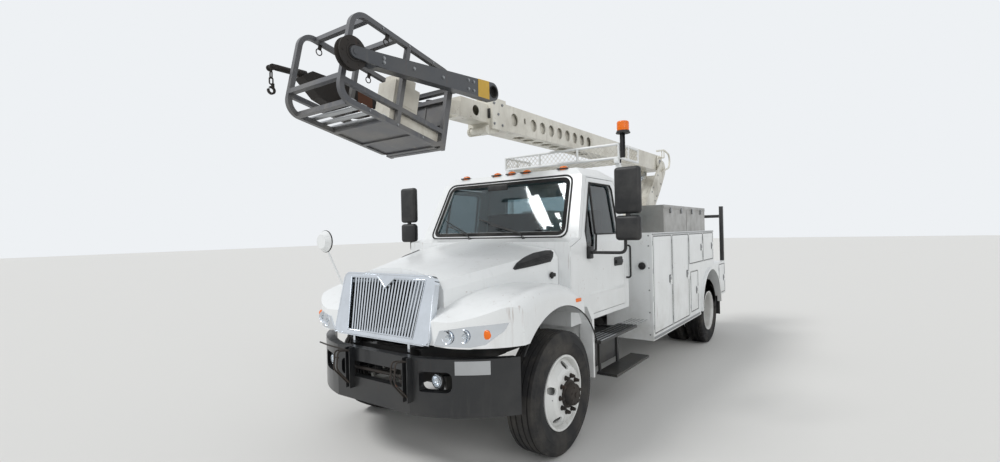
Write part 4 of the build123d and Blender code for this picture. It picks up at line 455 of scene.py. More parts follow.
def joined(parts):
    """One mesh from a piece or a list of them."""
    if not isinstance(parts, list):
        return parts
    alone(parts[0])
    for part in parts:
        part.select_set(True)
    if len(parts) > 1:
        bpy.ops.object.join()
    return bpy.context.object


def finish(parts, name, material, body="chassis", smooth=35, replaces=()):
    """Joins and names a piece, gives it its finish and sets it riding on its body."""
    piece = alone(joined(parts))
    piece.name = name
    piece.data.name = name
    piece.data.materials.clear()
    piece.data.materials.append(material)
    bpy.ops.object.shade_smooth_by_angle(angle=radians(smooth))
    if replaces:
        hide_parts(*replaces)
    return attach(piece, body)


def both(parts, name, material, bodies="chassis", smooth=35, replaces=None):
    """Finishes a left piece and its mirrored right twin; bodies holds a name with or without a side."""
    piece = joined(parts)
    for made, side_name in ((piece, "left"), (other_side(piece), "right")):
        swaps = [replaces.format(side_name)] if replaces else ()
        finish(made, f"{name}_{side_name}", material, bodies.format(side_name), smooth, swaps)


# Finishes of the CAD nodes

NODE_FINISHES = {
    white_enamel: ("cab_shell", "hood", "body_side_left", "body_side_right", "body_deck", "door_left",
                   "door_right",
                   *[name for name in nodes if name.startswith("locker_")]),
    boom_enamel: ("turret", "riser", "elbow_link", "boom_outer", "boom_inner", "lift_barrel", "cab_guard"),
    chassis_black: ("frame", "front_axle", "rear_axle", "battery_step"),
    bumper_black: ("front_bumper",),
    rusty_iron: ("engine", "knuckle_left", "knuckle_right", "sheave", "jib", "hook"),
    arm_charcoal: ("side_arm",),
    basket_grey: ("basket",),
    console_white: ("console",),
    brushed_stainless: ("top_boxes",),
    mill_aluminium: ("fuel_tank",),
    chrome: ("grille", "lift_rod", "headlamps"),
    black_polymer: ("mirror_left", "mirror_right"),
    cab_trim: ("cab_interior",),
    windscreen_glass: ("cab_glass",),
    side_glass: ("door_glass_left", "door_glass_right"),
    wheel_enamel: ("front_wheel_left", "front_wheel_right", "rear_wheel_left", "rear_wheel_right"),
    tyre_rubber: ("front_tyre_left", "front_tyre_right", "rear_tyres_left", "rear_tyres_right"),
    amber_lens: ("beacon",),
}
for material, names in NODE_FINISHES.items():
    for name in names:
        nodes[name].data.materials.clear()
        nodes[name].data.materials.append(material)

# Tyres

RIM_R = 0.306
TYRE_STEPS = 168
SLOT_DEPTH = 0.010
STEER_GROOVES = (0.078, 0.027, -0.027, -0.078)
DRIVE_GROOVES = (0.070, 0.0, -0.070)


def tyre_profile(grooves):
    """Section of a radial truck tyre, from bead to bead across the tread."""
    half, shoulder = TYRE_W / 2, TYRE_W / 2 - 0.024
    side = [
        (0.104, 0.290), (0.112, RIM_R + 0.004), (0.118, RIM_R + 0.016), (0.121, RIM_R + 0.020),
            (0.127, 0.345),
        (0.1335, 0.372), (half - 0.0025, 0.400), (half - 0.0022, 0.404), (half, 0.406), (half, 0.412),
        (half - 0.0018, 0.414), (half - 0.004, 0.440), (half - 0.010, 0.464), (half - 0.009, 0.468),
        (shoulder + 0.002, WHEEL_R - 0.013), (shoulder - 0.004, WHEEL_R - 0.004),
    ]
    groove = ((0.0062, 0), (0.0038, -0.013), (-0.0038, -0.013), (-0.0062, 0))
    tread = [(centre + across, drop) for centre in grooves for across, drop in groove]
    crown = [(y, WHEEL_R - 0.0035 * (abs(y) / shoulder) ** 2 + drop) for y, drop in tread]
    return [(-y, r) for y, r in side + crown] + side[::-1]


def tyre(centre, grooves, slot_every):
    """Tyre turned about its axle, with cross slots cut into the shoulder ribs."""
    piece = turned(tyre_profile(grooves), centre, Y, TYRE_STEPS)
    rib = max(grooves) + 0.004
    for polygon in piece.data.polygons:
        dx, dy, dz = [value - middle for value, middle in zip(polygon.center, centre)]
        step = int(atan2(dz, dx) / (2 * pi) * TYRE_STEPS + TYRE_STEPS)
        on_tread = Vector((dx, 0, dz)).length > WHEEL_R - 0.010
        polygon.select = step % slot_every == 0 and on_tread and abs(dy) > rib
    alone(piece)
    bpy.ops.object.mode_set(mode="EDIT")
    bpy.ops.mesh.select_mode(type="FACE")
    bpy.ops.object.mode_set(mode="OBJECT")
    bpy.ops.object.mode_set(mode="EDIT")
    bpy.ops.mesh.extrude_region_shrink_fatten(TRANSFORM_OT_shrink_fatten={"value": -SLOT_DEPTH})
    bpy.ops.object.mode_set(mode="OBJECT")
    return piece


for side_name, side in SIDES:
    front = tyre((FRONT_X, side * FRONT_TYRE_Y, WHEEL_R), STEER_GROOVES, 4)
    finish(front, f"steer_tyre_{side_name}", tyre_rubber, f"front_wheel_{side_name}", 30,
           [f"front_tyre_{side_name}"])
    twins = [tyre((REAR_X, side * y, WHEEL_R), DRIVE_GROOVES, 3) for y in (TWIN_OUT_Y, TWIN_IN_Y)]
    finish(twins, f"drive_tyres_{side_name}", tyre_rubber, f"rear_wheel_{side_name}", 30,
           [f"rear_tyres_{side_name}"])

# Places on the CAD surfaces


def hit(start, direction, *names):
    """First point and outward normal where a ray meets one of the named nodes."""
    start, direction = Vector(start), Vector(direction).normalized()
    found = []
    for name in names:
        node = nodes[name]
        inverse = node.matrix_world.inverted()
        met, point, normal, _ = node.ray_cast(inverse @ start, inverse.to_3x3() @ direction)
        if met:
            point = node.matrix_world @ point
            found.append(((point - start).length, point, (node.matrix_world.to_3x3() @ normal).normalized()))
    return min(found)[1:]


def hugging(outline, centre, aim, thickness, lift, *names):
    """Thin plate that follows a node's surface: rings from the outline to its middle, cast along aim."""
    shares = (1.0, 0.86, 0.72, 0.56, 0.38, 0.2)
    points = [centre + (p - centre) * share for share in shares for p in outline] + [centre]
    cast = [hit(p - aim * 0.6, aim, *names)[0] - aim * lift for p in points]
    count, last = len(outline), len(shares) - 1
    faces = []
    for i in range(count):
        j = (i + 1) % count
        faces += [(row + i, row + j, row + count + j, row + count + i)
                  for row in range(0, last * count, count)]
        faces.append((last * count + i, last * count + j, (last + 1) * count))
    piece = facing_out(mesh_object("hugging", cast, [], faces))
    if piece.data.polygons[0].normal.dot(aim) > 0:
        piece.data.flip_normals()
    return applied(piece, "SOLIDIFY", thickness=thickness, offset=1)


def bolt_head(foot, out, radius=0.006, height=0.004):
    """Hexagon head on its washer."""
    foot, out = Vector(foot), Vector(out).normalized()
    top_of_washer = foot + out * height * 0.35
    return joined([rod(foot, top_of_washer, radius * 1.35),
                   rod(top_of_washer, foot + out * height, radius, 6)])


def side_bolts(places, start_y, node, radius, height, sides=(1, -1)):
    """Bolt heads where rays from the sides meet a node, at (station, height) places."""
    starts = [(at(s, side * start_y, z), (0, -side, 0)) for side in sides for s, z in places]
    return [bolt_head(*hit(start, aim, node), radius, height) for start, aim in starts]


# Wheel nuts and hub faces

STUD_CIRCLE = 0.1429
FRONT_HUB = Vector((FRONT_X, FRONT_TYRE_Y, WHEEL_R))
REAR_HUB = Vector((REAR_X, TWIN_OUT_Y, WHEEL_R))


def wheel_nuts(face):
    """Ring of ten flanged wheel nuts on their studs."""
    made = []
    for foot in circle(face, STUD_CIRCLE, 10):
        made.append(rod(foot, foot + Y * 0.006, 0.0205, 20))
        made.append(rod(foot + Y * 0.005, foot + Y * 0.027, 0.0172, 6, edge=0.0015))
        made.append(rod(foot + Y * 0.026, foot + Y * 0.040, 0.0125, 14, edge=0.0015))
    return made


def cap_bolts(centre, radius, height, size):
    """Eight small hexagon heads round a hub's cap."""
    return [rod(foot, foot + Y * height, size, 6, edge=0.001) for foot in circle(centre, radius, 8, 0.5)]


front_hub = [turned([(0.158, 0.1115), (0.171, 0.1115), (0.175, 0.1045), (0.176, 0.0935), (0.222, 0.0850),
                     (0.228, 0.0800), (0.231, 0.0640), (0.2315, 0.0)], FRONT_HUB, Y, 48)]
front_hub += cap_bolts(FRONT_HUB + Y * 0.228, 0.070, 0.009, 0.0075)
front_hub.append(rod(FRONT_HUB + Y * 0.2315, FRONT_HUB + Y * 0.238, 0.022, 24, edge=0.002))
both(front_hub + wheel_nuts(FRONT_HUB + Y * 0.160), "front_hub_and_nuts", rusty_iron, "front_wheel_{}")
rear_hub = [turned([(-0.106, 0.1115), (-0.100, 0.1115), (-0.070, 0.0965), (0.021, 0.0895), (0.031, 0.0640),
                    (0.034, 0.0600), (0.0345, 0.0)], REAR_HUB, Y, 48)]
rear_hub += cap_bolts(REAR_HUB + Y * 0.026, 0.072, 0.012, 0.0085)
both(rear_hub + wheel_nuts(REAR_HUB - Y * 0.148), "rear_hub_and_nuts", rusty_iron, "rear_wheel_{}")

# Valve stems through the front discs
stem = [FRONT_HUB + Vector(p) for p in ((0.236, 0.085, 0), (0.222, 0.128, 0), (0.218, 0.142, 0))]
both([rod(stem[0], stem[1], 0.0045, 10), rod(stem[1], stem[2], 0.0062, 10)], "valve_stem", zinc,
     "front_wheel_{}")

# Windscreen, wipers and roof markers

SCREEN_OUT = Vector((0.636, 0, 0.298)).normalized()


def on_screen(share, y, lift=0.0):
    """Point on the windscreen: share 0 at its foot, 1 at its head."""
    return at(-0.600 - 0.300 * share, y, 1.776 + 0.636 * share) + SCREEN_OUT * lift


def screen_corners(low_share, high_share, low_y, high_y, lift):
    places = ((low_share, low_y), (high_share, high_y), (high_share, -high_y), (low_share, -low_y))
    return [on_screen(share, y, lift) for share, y in places]


frit = plate(screen_corners(0.035, 0.965, 0.868, 0.803, 0.0005), 0.0012, SCREEN_OUT, corner=0.085, ring=0.042)
finish(frit, "windscreen_black_border", black_print_and_painted_shade)
seal_path = []
outer = screen_corners(0.004, 0.992, 0.892, 0.822, 0.004)
for index, corner in enumerate(outer):
    before, after = [corner.lerp(p, 0.5) for p in (outer[index - 1], outer[(index + 1) % 4])]
    seal_path += bend_points([before, corner, after], 0.095)[1:-1]
finish(swept(seal_path, 0.009, closed=True), "windscreen_seal", rubber_seal)

wipers = []
for pivot_y, tip_y in ((0.42, -0.30), (-0.28, -0.80)):
    pivot = on_screen(-0.02, pivot_y, 0.030)
    heel = on_screen(0.05, pivot_y - 0.06, 0.040)
    middle = on_screen(0.20, (pivot_y + tip_y) / 2 - 0.10, 0.040)
    wipers.append(rod(pivot - SCREEN_OUT * 0.035, pivot + SCREEN_OUT * 0.012, 0.016, edge=0.003))
    wipers.append(bent([pivot, heel, middle], 0.03, 0.0055))
    blade = [on_screen(0.06 + 0.26 * t, pivot_y - 0.05 - t * (pivot_y - tip_y - 0.12),
                       0.014 + 0.006 * sin(pi * t))
             for t in (0, 0.25, 0.5, 0.75, 1)]
    wipers += [swept(blade, 0.006), rod(middle, blade[2], 0.005, 8)]
finish(wipers, "wiper_arms_and_blades", black_polymer)

marker_feet = [hit(at(-1.00, y, 3.2), -Z, "cab_shell")[0] for y in (-0.66, -0.20, 0.0, 0.20, 0.66)]
bases = [block(foot, (-0.045, -0.062, -0.006), (0.045, 0.062, 0.007), 0.005) for foot in marker_feet]
domes = [ball(foot + Z * 0.004, 0.05, (0.72, 1.0, 0.56), 20) for foot in marker_feet]
finish(domes, "roof_marker_lenses", amber_lens, smooth=60)
finish(bases, "roof_marker_bases", black_polymer)

# Cab doors

LEAN = (CAB_HALF - 0.925) / (2.400 - 1.720)


def on_door(station, z, lift=0.0):
    """Point on the outer face of the cab side, which leans in above the waist."""
    return at(station, CAB_HALF - max(0.0, z - 1.720) * LEAN + lift, z)


window = ((-0.760, 1.830), (-1.015, 2.325), (-1.520, 2.325), (-1.560, 2.280), (-1.560, 1.800),
          (-1.000, 1.800),
          (-0.960, 1.640), (-0.760, 1.640))
seal = swept([on_door(s, z, 0.001) for s, z in window], 0.010, closed=True)
divider = strip(on_door(-0.985, 1.800, -0.012), on_door(-1.030, 2.325, -0.012), X * 0.013, 0.014,
                (0, 1, LEAN), 0.002)
both([seal, divider], "door_window_seal", rubber_seal, "door_{}")

# Paddle handle in its dished black surround
surround = plate(side_rectangle(CAB_HALF + 0.0005, -1.625, -1.400, 1.450, 1.545), 0.006, Y, corner=0.022,
                 edge=0.002)
handle = box(at(-1.600, CAB_HALF + 0.004, 1.475), at(-1.430, CAB_HALF + 0.026, 1.515), 0.007)
lock = rod(at(-1.412, CAB_HALF + 0.004, 1.497), at(-1.412, CAB_HALF + 0.010, 1.497), 0.009)
both([surround, handle, lock], "door_handle", black_polymer, "door_{}")
# Swage line pressed along the door, above its bottom edge
swage = side_points(CAB_HALF - 0.0015, ((-0.800, 1.218), (-1.655, 1.218)))
both(strip(*swage, Z * 0.016, 0.005, Y, 0.0035), "door_swage_line", white_enamel, "door_{}")

# Long grab rail behind each door
rail = [at(-1.742, CAB_HALF + dy, z) for dy,
        z in ((-0.004, 1.30), (0.050, 1.30), (0.050, 1.66), (-0.004, 1.66))]
both(bent(rail, 0.03, 0.011), "cab_grab_rail", black_polymer)

# Door mirrors: two rounded heads and their link, the arm and its foot
MIRROR_Y = 1.440
heads = [box(at(rear, MIRROR_Y - half, low), at(front, MIRROR_Y + half, high), 0.034, 4)
         for front, rear, half, low, high in ((-0.745, -0.825, 0.125, 1.985, 2.420),
                                              (-0.740, -0.820, 0.120, 1.740, 1.970))]
heads.append(box(at(-0.800, MIRROR_Y - 0.020, 1.95), at(-0.765, MIRROR_Y + 0.020, 2.00), 0.004))
arm = [at(-0.780, y, z) for y,
       z in ((CAB_HALF + 0.012, 1.625), (MIRROR_Y - 0.030, 1.625), (MIRROR_Y - 0.030, 1.765))]
heads.append(bent(arm, 0.06, 0.015))
heads.append(box(at(-0.825, CAB_HALF + 0.0005, 1.565), at(-0.745, CAB_HALF + 0.040, 1.685), 0.008))
both(heads, "door_mirror_heads", black_polymer, "door_{}", 40, "mirror_{}")
glasses = []
for half, low, high in ((0.105, 2.005, 2.400), (0.100, 1.760, 1.950)):
    corners = [at(-0.8255, MIRROR_Y + dy, z) for dy,
               z in ((-half, low), (half, low), (half, high), (-half, high))]
    glasses.append(plate(corners, 0.002, -X, corner=0.02))
both(glasses, "door_mirror_glass", mirror_silver, "door_{}")

# Hood, grille and headlamps

# Black vent let into each side of the hood, pointed at its front end, with four slats
VENT_AIM = Vector((-0.30, -0.80, -0.52)).normalized()
vent_outline = [at(*p) for p in (
    (0.108, 0.748, 1.526), (0.053, 0.745, 1.567), (-0.024, 0.754, 1.602), (-0.115, 0.757, 1.625),
    (-0.208, 0.762, 1.642), (-0.333, 0.808, 1.658), (-0.368, 0.848, 1.658), (-0.377, 0.868, 1.640),
    (-0.347, 0.881, 1.601), (-0.308, 0.878, 1.561), (-0.173, 0.839, 1.543), (-0.010, 0.791, 1.523),
    (0.096, 0.760, 1.513),
)]
vent_fine = []
for here, after in zip(vent_outline, vent_outline[1:] + vent_outline[:1]):
    vent_fine += [here, here.lerp(after, 0.5)]
vent = [hugging(vent_fine, at(-0.130, 0.815, 1.590), VENT_AIM, 0.004, 0.003, "hood")]
for share in (0.2, 0.4, 0.6, 0.8):
    rear = at(-0.300, 0.878, 1.566).lerp(at(-0.355, 0.850, 1.650), share)
    front = at(0.085, 0.763, 1.518).lerp(at(0.045, 0.750, 1.562), share)
    starts = [rear.lerp(front, step / 6) - VENT_AIM * 0.5 for step in range(7)]
    vent.append(swept([hit(p, VENT_AIM, "hood")[0] - VENT_AIM * 0.008 for p in starts], 0.0038, sides=2))
both(vent, "hood_side_vent", black_polymer, "hood")

# Rubber hold-down latches by the cowl
foot = hit(at(-0.330, 1.4, 1.44), -Y, "hood")[0]
both([block(foot, (-0.055, -0.004, -0.018), (0.050, 0.012, 0.018), 0.006),
      block(foot, (0.012, 0.004, -0.030), (0.045, 0.020, 0.030), 0.006)], "hood_hold_down", rubber_seal,
     "hood")

# Black sheet behind the bars: painted shade of the grille's opening
grille_shade_sheet = plate([at(0.735, y, z) for y, z in ((-0.43, 1.03), (0.43, 1.03), (0.47, 1.46), (-0.47, 1.46))], 0.004,
             X)
finish(grille_shade_sheet, "grille_void", black_print_and_painted_shade, "hood")

# Raised beads round the chrome surround, the inner one dipped where a badge would be
GRILLE_OUT = Vector((0.4250, 0, 0.0950)).normalized()


def grille_bead(places, lift, radius):
    """Closed bead on the face of the leaning grille surround, from (y, height) pairs."""
    points = [at(0.945 - 0.095 * (z - 1.050) / 0.425, y, z) + GRILLE_OUT * (0.012 + lift) for y, z in places]
    return swept(points, radius, closed=True)


beads = [grille_bead(((-0.452, 1.484), (-0.100, 1.484), (0.0, 1.402), (0.100, 1.484), (0.452, 1.484),
                      (0.392, 1.042),
                      (-0.392, 1.042)), 0.001, 0.0055),
         grille_bead(((-0.535, 1.495), (-0.47, 1.512), (0.47, 1.512), (0.535, 1.495), (0.562, 1.010),
                      (-0.562, 1.010)), -0.004, 0.0075)]
finish(beads, "grille_surround_beads", chrome, "hood", 60)

# Headlamps: two bowls with their bulbs, and the turn signal
for side_name, side in SIDES:
    bowls, bulbs = [], []
    for y, z, radius in ((0.725, 1.085, 0.052), (0.850, 1.098, 0.050)):
        face = hit(at(1.6, side * y, z), -X, "headlamps")[0]
        bowls.append(turned([(0.004, radius), (0.009, radius - 0.003), (0.004, radius - 0.007),
                             (-0.002, 0.020)],
                            face - X * 0.0005, X))
        bulbs.append(ball(face + X * 0.002, 0.018, (0.6, 1, 1)))
    signal = ball(hit(at(1.6, side * 0.985, 1.110), -X, "headlamps")[0], 0.046, (0.22, 1.0, 0.75), 20)
    finish(bowls, f"lamp_bowls_{side_name}", chrome, "hood", 60)
    finish(bulbs, f"lamp_bulbs_{side_name}", clear_lens, "hood", 60)
    finish(signal, f"turn_signal_{side_name}", amber_lens, "hood", 60)

# Orange side marker low on the rear of each fender
marker_foot = hit(at(-0.285, 1.6, 1.235), -Y, "hood")[0]
both(block(marker_foot, (-0.045, -0.004, -0.016), (0.045, 0.012, 0.016), 0.006), "fender_side_marker",
     amber_lens,
     "hood")

# Rubber lip round each wheel arch
ARCH_R = 0.7165
lip = [at(ARCH_R * sin(radians(a)), 1.158, WHEEL_R + ARCH_R * cos(radians(a))) for a in range(-66, 58, 6)]
both(swept(lip, 0.0065), "fender_lip", rubber_seal, "hood")

# Convex mirror on the right fender: glass and dark rim
bowl = at(0.690, -1.080, 1.790)
rim = turned([(0.0, 0.1055), (-0.004, 0.109), (-0.012, 0.109), (-0.016, 0.104), (-0.016, 0.098)], bowl, X, 40)
finish(rim, "fender_mirror_rim", black_polymer, "hood")
face = turned([(-0.0005, 0.098), (-0.006, 0.080), (-0.010, 0.050), (-0.012, 0.0)], bowl, X, 40)
finish(face, "fender_mirror_glass", mirror_silver, "hood", 60)

# Bumper

# Wire hoops bolted to the bumper's face, and a loose wire across it
BUMPER_FACE = 1.035
wire = []
for y in (-0.240, 0.430):
    for edge_y in (y - 0.020, y + 0.020):
        hoop = ((0.040, 0.905), (0.150, 0.925), (0.165, 0.780), (0.040, 0.640))
        wire.append(bent([at(BUMPER_FACE + ds, edge_y, z) for ds, z in hoop], 0.035, 0.0065))
    wire.append(rod(at(BUMPER_FACE + 0.150, y - 0.024, 0.870), at(BUMPER_FACE + 0.150, y + 0.024, 0.870),
                    0.0065, 10))
    for foot in [at(BUMPER_FACE + 0.003, y, z) for z in (0.640, 0.765, 0.890)]:
        wire.append(rod(foot, foot + X * 0.010, 0.012, 6, edge=0.001))
wire.append(bent([at(BUMPER_FACE + 0.030, -0.220, 0.900), at(BUMPER_FACE + 0.105, -0.400, 0.940),
                  at(BUMPER_FACE + 0.080, -0.560, 0.945)], 0.05, 0.006))
finish(wire, "bumper_wire_hoops", rusty_iron)

# Tow rod across the air opening with its end collars
tow = [rod(at(0.985, -0.365, 0.752), at(0.985, 0.365, 0.752), 0.014)]
for y in (-0.30, 0.30):
    tow.append(turned([(-0.012, 0.0145), (-0.012, 0.026), (0.012, 0.026), (0.012, 0.0145)],
                      at(0.985, y, 0.752), Y, 24))
    tow.append(box(at(0.955, y - 0.010, 0.690), at(0.995, y + 0.010, 0.820), 0.002))
finish(tow, "bumper_tow_rod", rusty_iron)

# Round work lamps in the bumper's outer recesses
shells, reflectors, lenses = [], [], []
for centre in (at(0.935, 0.620, 0.755), at(0.935, -0.620, 0.755)):
    shells.append(turned([(-0.055, 0.0), (-0.052, 0.030), (-0.020, 0.054), (0.0, 0.058), (0.004, 0.055),
                          (0.003, 0.050)], centre, X))
    shells.append(block(centre, (-0.060, -0.012, -0.095), (-0.030, 0.012, -0.045), 0.002))
    reflectors.append(turned([(0.001, 0.0505), (-0.014, 0.036), (-0.022, 0.012), (-0.022, 0.0)], centre, X))
    lenses.append(turned([(0.001, 0.050), (0.006, 0.036), (0.008, 0.0)], centre, X))
finish(shells, "work_lamp_shells", black_polymer)
finish(reflectors, "work_lamp_reflectors", chrome, smooth=60)
finish(lenses, "work_lamp_lenses", clear_lens, smooth=60)

# Blank pale plate that follows the bumper's left sweep
placard_mid = at(0.885, 0.875, 0.865)
steps_y = [-0.105 + 0.035 * index for index in range(7)]
outline = [Vector((placard_mid.x, placard_mid.y + dy, 0.812)) for dy in steps_y]
outline += [Vector((placard_mid.x, placard_mid.y + dy, 0.912)) for dy in reversed(steps_y)]
finish(hugging(outline, placard_mid, -X, 0.002, 0.002, "front_bumper"), "blank_bumper_plate", mill_aluminium)

# Service body

BODY_FACE = 1.199
# Each locker door's front and rear stations, low and high edges
LOCKERS = (
    ("locker_front", -2.125, -2.844, 0.600, 1.760), ("locker_middle", -2.858, -3.615, 0.600, 1.760),
    ("locker_over_wheel", -3.630, -4.395, 1.320, 1.760), ("locker_rear_upper", -4.405, -5.050, 1.320, 1.760),
    ("locker_narrow", -3.675, -4.090, 0.630, 1.215), ("locker_rear_lower", -5.430, -5.870, 0.700, 1.205),
)
for name, front, rear, low, high in LOCKERS:
    door = name + "_{}"
    # Dark rubber edge round the door, and the pressed panel inside it
    corners = side_rectangle(BODY_FACE + 0.0005, rear + 0.009, front - 0.009, low + 0.009, high - 0.009)
    both(plate(corners, 0.0022, Y, corner=0.022, ring=0.006), f"{name}_edge_rubber", rubber_seal, door)
    corners = side_rectangle(BODY_FACE + 0.0005, rear + 0.050, front - 0.050, low + 0.055, high - 0.055)
    both(plate(corners, 0.0018, Y, corner=0.030, ring=0.012, edge=0.0006), f"{name}_swage", white_enamel,
         door)
    # Paddle latch in its pan, near the free edge
    s, z = rear + 0.085, (low + high) / 2 + (0.02 if high - low > 0.6 else 0.0)
    pan = side_rectangle(BODY_FACE + 0.0006, s - 0.040, s + 0.040, z - 0.052, z + 0.052)
    rim = plate(pan, 0.0035, Y, corner=0.012, ring=0.007, edge=0.001)
    paddle = box(at(s - 0.030, BODY_FACE + 0.0010, z - 0.016), at(s + 0.030, BODY_FACE + 0.0095, z + 0.030),
                 0.003)
    key = rod(at(s, BODY_FACE + 0.001, z - 0.032), at(s, BODY_FACE + 0.006, z - 0.032), 0.009)
    both([rim, paddle, key], f"{name}_latch", zinc, door)
    # Matt black plate inside the rim: painted shade of the latch's recess
    both(plate(pan, 0.0010, Y, corner=0.012), f"{name}_latch_pan", black_print_and_painted_shade, door)
    # Hinge knuckles along the front edge
    count = 4 if high - low > 0.8 else 2
    hinges = [at(front + 0.004, BODY_FACE + 0.0045, low + 0.09 + (high - low - 0.18) * index / (count - 1))
              for index in range(count)]
    both([rod(p - Z * 0.028, p + Z * 0.028, 0.0042, 12) for p in hinges], f"{name}_hinge_knuckles", zinc)

# Drip rail along the body's top edge and rub strip along its foot
both(swept(side_points(1.2005, ((-2.105, 1.776), (-5.070, 1.776))), 0.0075), "body_drip_rail", zinc)
both(box(at(-4.150, 1.199, 0.545), at(-2.110, 1.2065, 0.575), 0.003), "body_sill_strip", zinc)

# Fuel filler on the front bulkhead: white ring, dark cap and its grip
filler = at(-2.095, 1.078, 1.403)
ring = turned([(0.0005, 0.074), (0.007, 0.074), (0.007, 0.056), (0.0015, 0.054), (0.0015, 0.0)], filler, X,
              40)
cap = turned([(0.002, 0.044), (0.016, 0.042), (0.018, 0.036), (0.018, 0.0)], filler, X)
grip = box(at(-2.082, 1.044, 1.396), at(-2.064, 1.112, 1.410), 0.003)
finish(ring, "filler_ring", white_enamel)
finish([cap, grip], "filler_cap", black_polymer)

# Pressed louvre and bolt heads on the front bulkhead
both([box(at(-2.096, 0.740 - 0.001 * i, 1.615 + 0.022 * i), at(-2.088, 0.860, 1.622 + 0.022 * i), 0.0025)
      for i in range(4)], "bulkhead_louvre", white_enamel)
both([bolt_head(at(-2.0945, y, z), X, 0.007, 0.006) for z in (0.60, 0.86, 1.12, 1.38, 1.64, 1.76)
      for y in (1.160, 0.660)], "bulkhead_bolts", zinc)

# Stainless box: folded lid edge, seam and latches
BOX_FACE = 1.1005
for side_name, side in SIDES:
    lid = plate(side_rectangle(side * BOX_FACE, -4.962, -2.858, 2.100, 2.152), 0.004, (0, side, 0),
                edge=0.0012)
    seam = box(at(-3.915, side * BOX_FACE, 1.795), at(-3.905, side * 1.103, 2.098))
    latches = [box(at(s - 0.022, side * 1.1045, 2.045), at(s + 0.022, side * 1.114, 2.125), 0.003)
               for s in (-3.15, -3.65, -4.20, -4.70)]
    finish([lid, seam], f"top_box_lid_edge_{side_name}", brushed_stainless)
    finish(latches, f"top_box_latches_{side_name}", zinc)

# Tread bars pressed into the cab steps
treads = []
for rear, front, step_z in ((-1.690, -0.775, 0.7805), (-2.050, -1.130, 0.3705)):
    top = hit(at((rear + front) / 2, 1.05, step_z + 0.5), -Z, "battery_step")[0]
    for y in [0.960 + 0.180 * index / 4 for index in range(5)]:
        treads.append(box(at(rear, y - 0.006, top.z - 0.001), at(front, y + 0.006, top.z + 0.006), 0.002))
both(treads, "step_tread_bars", mill_aluminium)

# Tail lamps in their grommets, and the blank plate on the tail board
TAIL_X = -5.925
LAMP_DOME = ((0.001, 0.052), (0.014, 0.048), (0.020, 0.034), (0.022, 0.0))
LAMP_GROMMET = ((0.0005, 0.063), (0.009, 0.063), (0.011, 0.056), (0.0005, 0.053))
for side_name, side in SIDES:
    places = [at(TAIL_X, side * y, 0.985) for y in (1.080, 0.930, 0.780)]
    finish([turned(LAMP_DOME, p, -X) for p in places[:2]], f"tail_lamps_{side_name}", red_lens, smooth=60)
    finish(turned(LAMP_DOME, places[2], -X), f"tail_turn_lamp_{side_name}", amber_lens,
           smooth=60)
    finish([turned(LAMP_GROMMET, p, -X) for p in places], f"tail_lamp_grommets_{side_name}", rubber_seal)
corners = [at(TAIL_X - 0.001, y, z) for y,
           z in ((-0.155, 0.860), (0.155, 0.860), (0.155, 1.010), (-0.155, 1.010))]
finish(plate(corners, 0.0015, -X, corner=0.012), "blank_rear_plate", mill_aluminium)

# Exhaust pipe and muffler under the frame
exhaust = bent([at(0.10, -0.33, 0.62), at(-0.60, -0.33, 0.62), at(-1.00, -0.20, 0.60),
                at(-2.30, -0.20, 0.60)], 0.10,
               0.045, sides=4)
muffler = turned([(-0.42, 0.045), (-0.40, 0.118), (0.40, 0.118), (0.42, 0.045)], at(-2.70, -0.20, 0.60), X,
                 40)
finish([exhaust, muffler], "exhaust_pipe", rusty_iron)

# Cab guard and beacon

TUBE_R = 0.016
G_LOW, G_HIGH, G_HALF = 2.690, 2.885, 0.850
G_FRONT, G_BACK, G_SIDE = -2.05 - TUBE_R, -2.690, G_HALF - TUBE_R
bars = []
for z in (G_LOW + TUBE_R, G_HIGH - TUBE_R):
    loop = ((G_BACK, G_SIDE), (G_FRONT, G_SIDE), (G_FRONT, -G_SIDE), (G_BACK, -G_SIDE))
    bars.append(bent([at(s, y, z) for s, y in loop], 0.030, TUBE_R, 4))
posts = [(G_FRONT, y) for y in (G_SIDE, 0.28, -0.28, -G_SIDE)]
posts += [(s, y) for y in (G_SIDE, -G_SIDE) for s in (-2.36, G_BACK)]
bars += [rod(at(s, y, G_LOW + TUBE_R), at(s, y, G_HIGH - TUBE_R), TUBE_R * 0.95) for s, y in posts]
for side in (1, -1):
    bars.append(box(at(-2.158, side * 0.772, 1.7905), at(-2.102, side * 0.828, G_LOW + 0.020), 0.005))
    bars.append(box(at(-2.155, side * 0.772, G_LOW - 0.048), at(-2.052, side * 0.828, G_LOW + 0.008), 0.005))
finish(bars, "guard_tube_frame", white_enamel, replaces=["cab_guard"])


def diamond_mesh(origin, across, up, width, height, pitch=0.062, strand=0.0042):
    """Expanded-metal panel: crossed flat strands in diamonds, two rows to each pitch."""
    columns, rows = round(width / pitch), round(height / (pitch * 0.5))
    numbers, verts, edges = {}, [], []

    def knot(i, j):
        if (i, j) not in numbers:
            numbers[(i, j)] = len(verts)
            verts.append(origin + across * (i * width / columns / 2) + up * (j * height / rows))
        return numbers[(i, j)]

    for j in range(rows):
        for i in range(j % 2, 2 * columns + 1, 2):
            edges += [(knot(i, j), knot(i + turn, j + 1)) for turn in (-1, 1) if 0 <= i + turn <= 2 * columns]
    mesh_object("diamonds", verts, edges, [])
    bpy.ops.object.convert(target="CURVE")
    piece = alone(bpy.context.object)
    piece.data.bevel_depth = strand
    piece.data.bevel_resolution = 0
    bpy.ops.object.convert(target="MESH")
    return bpy.context.object


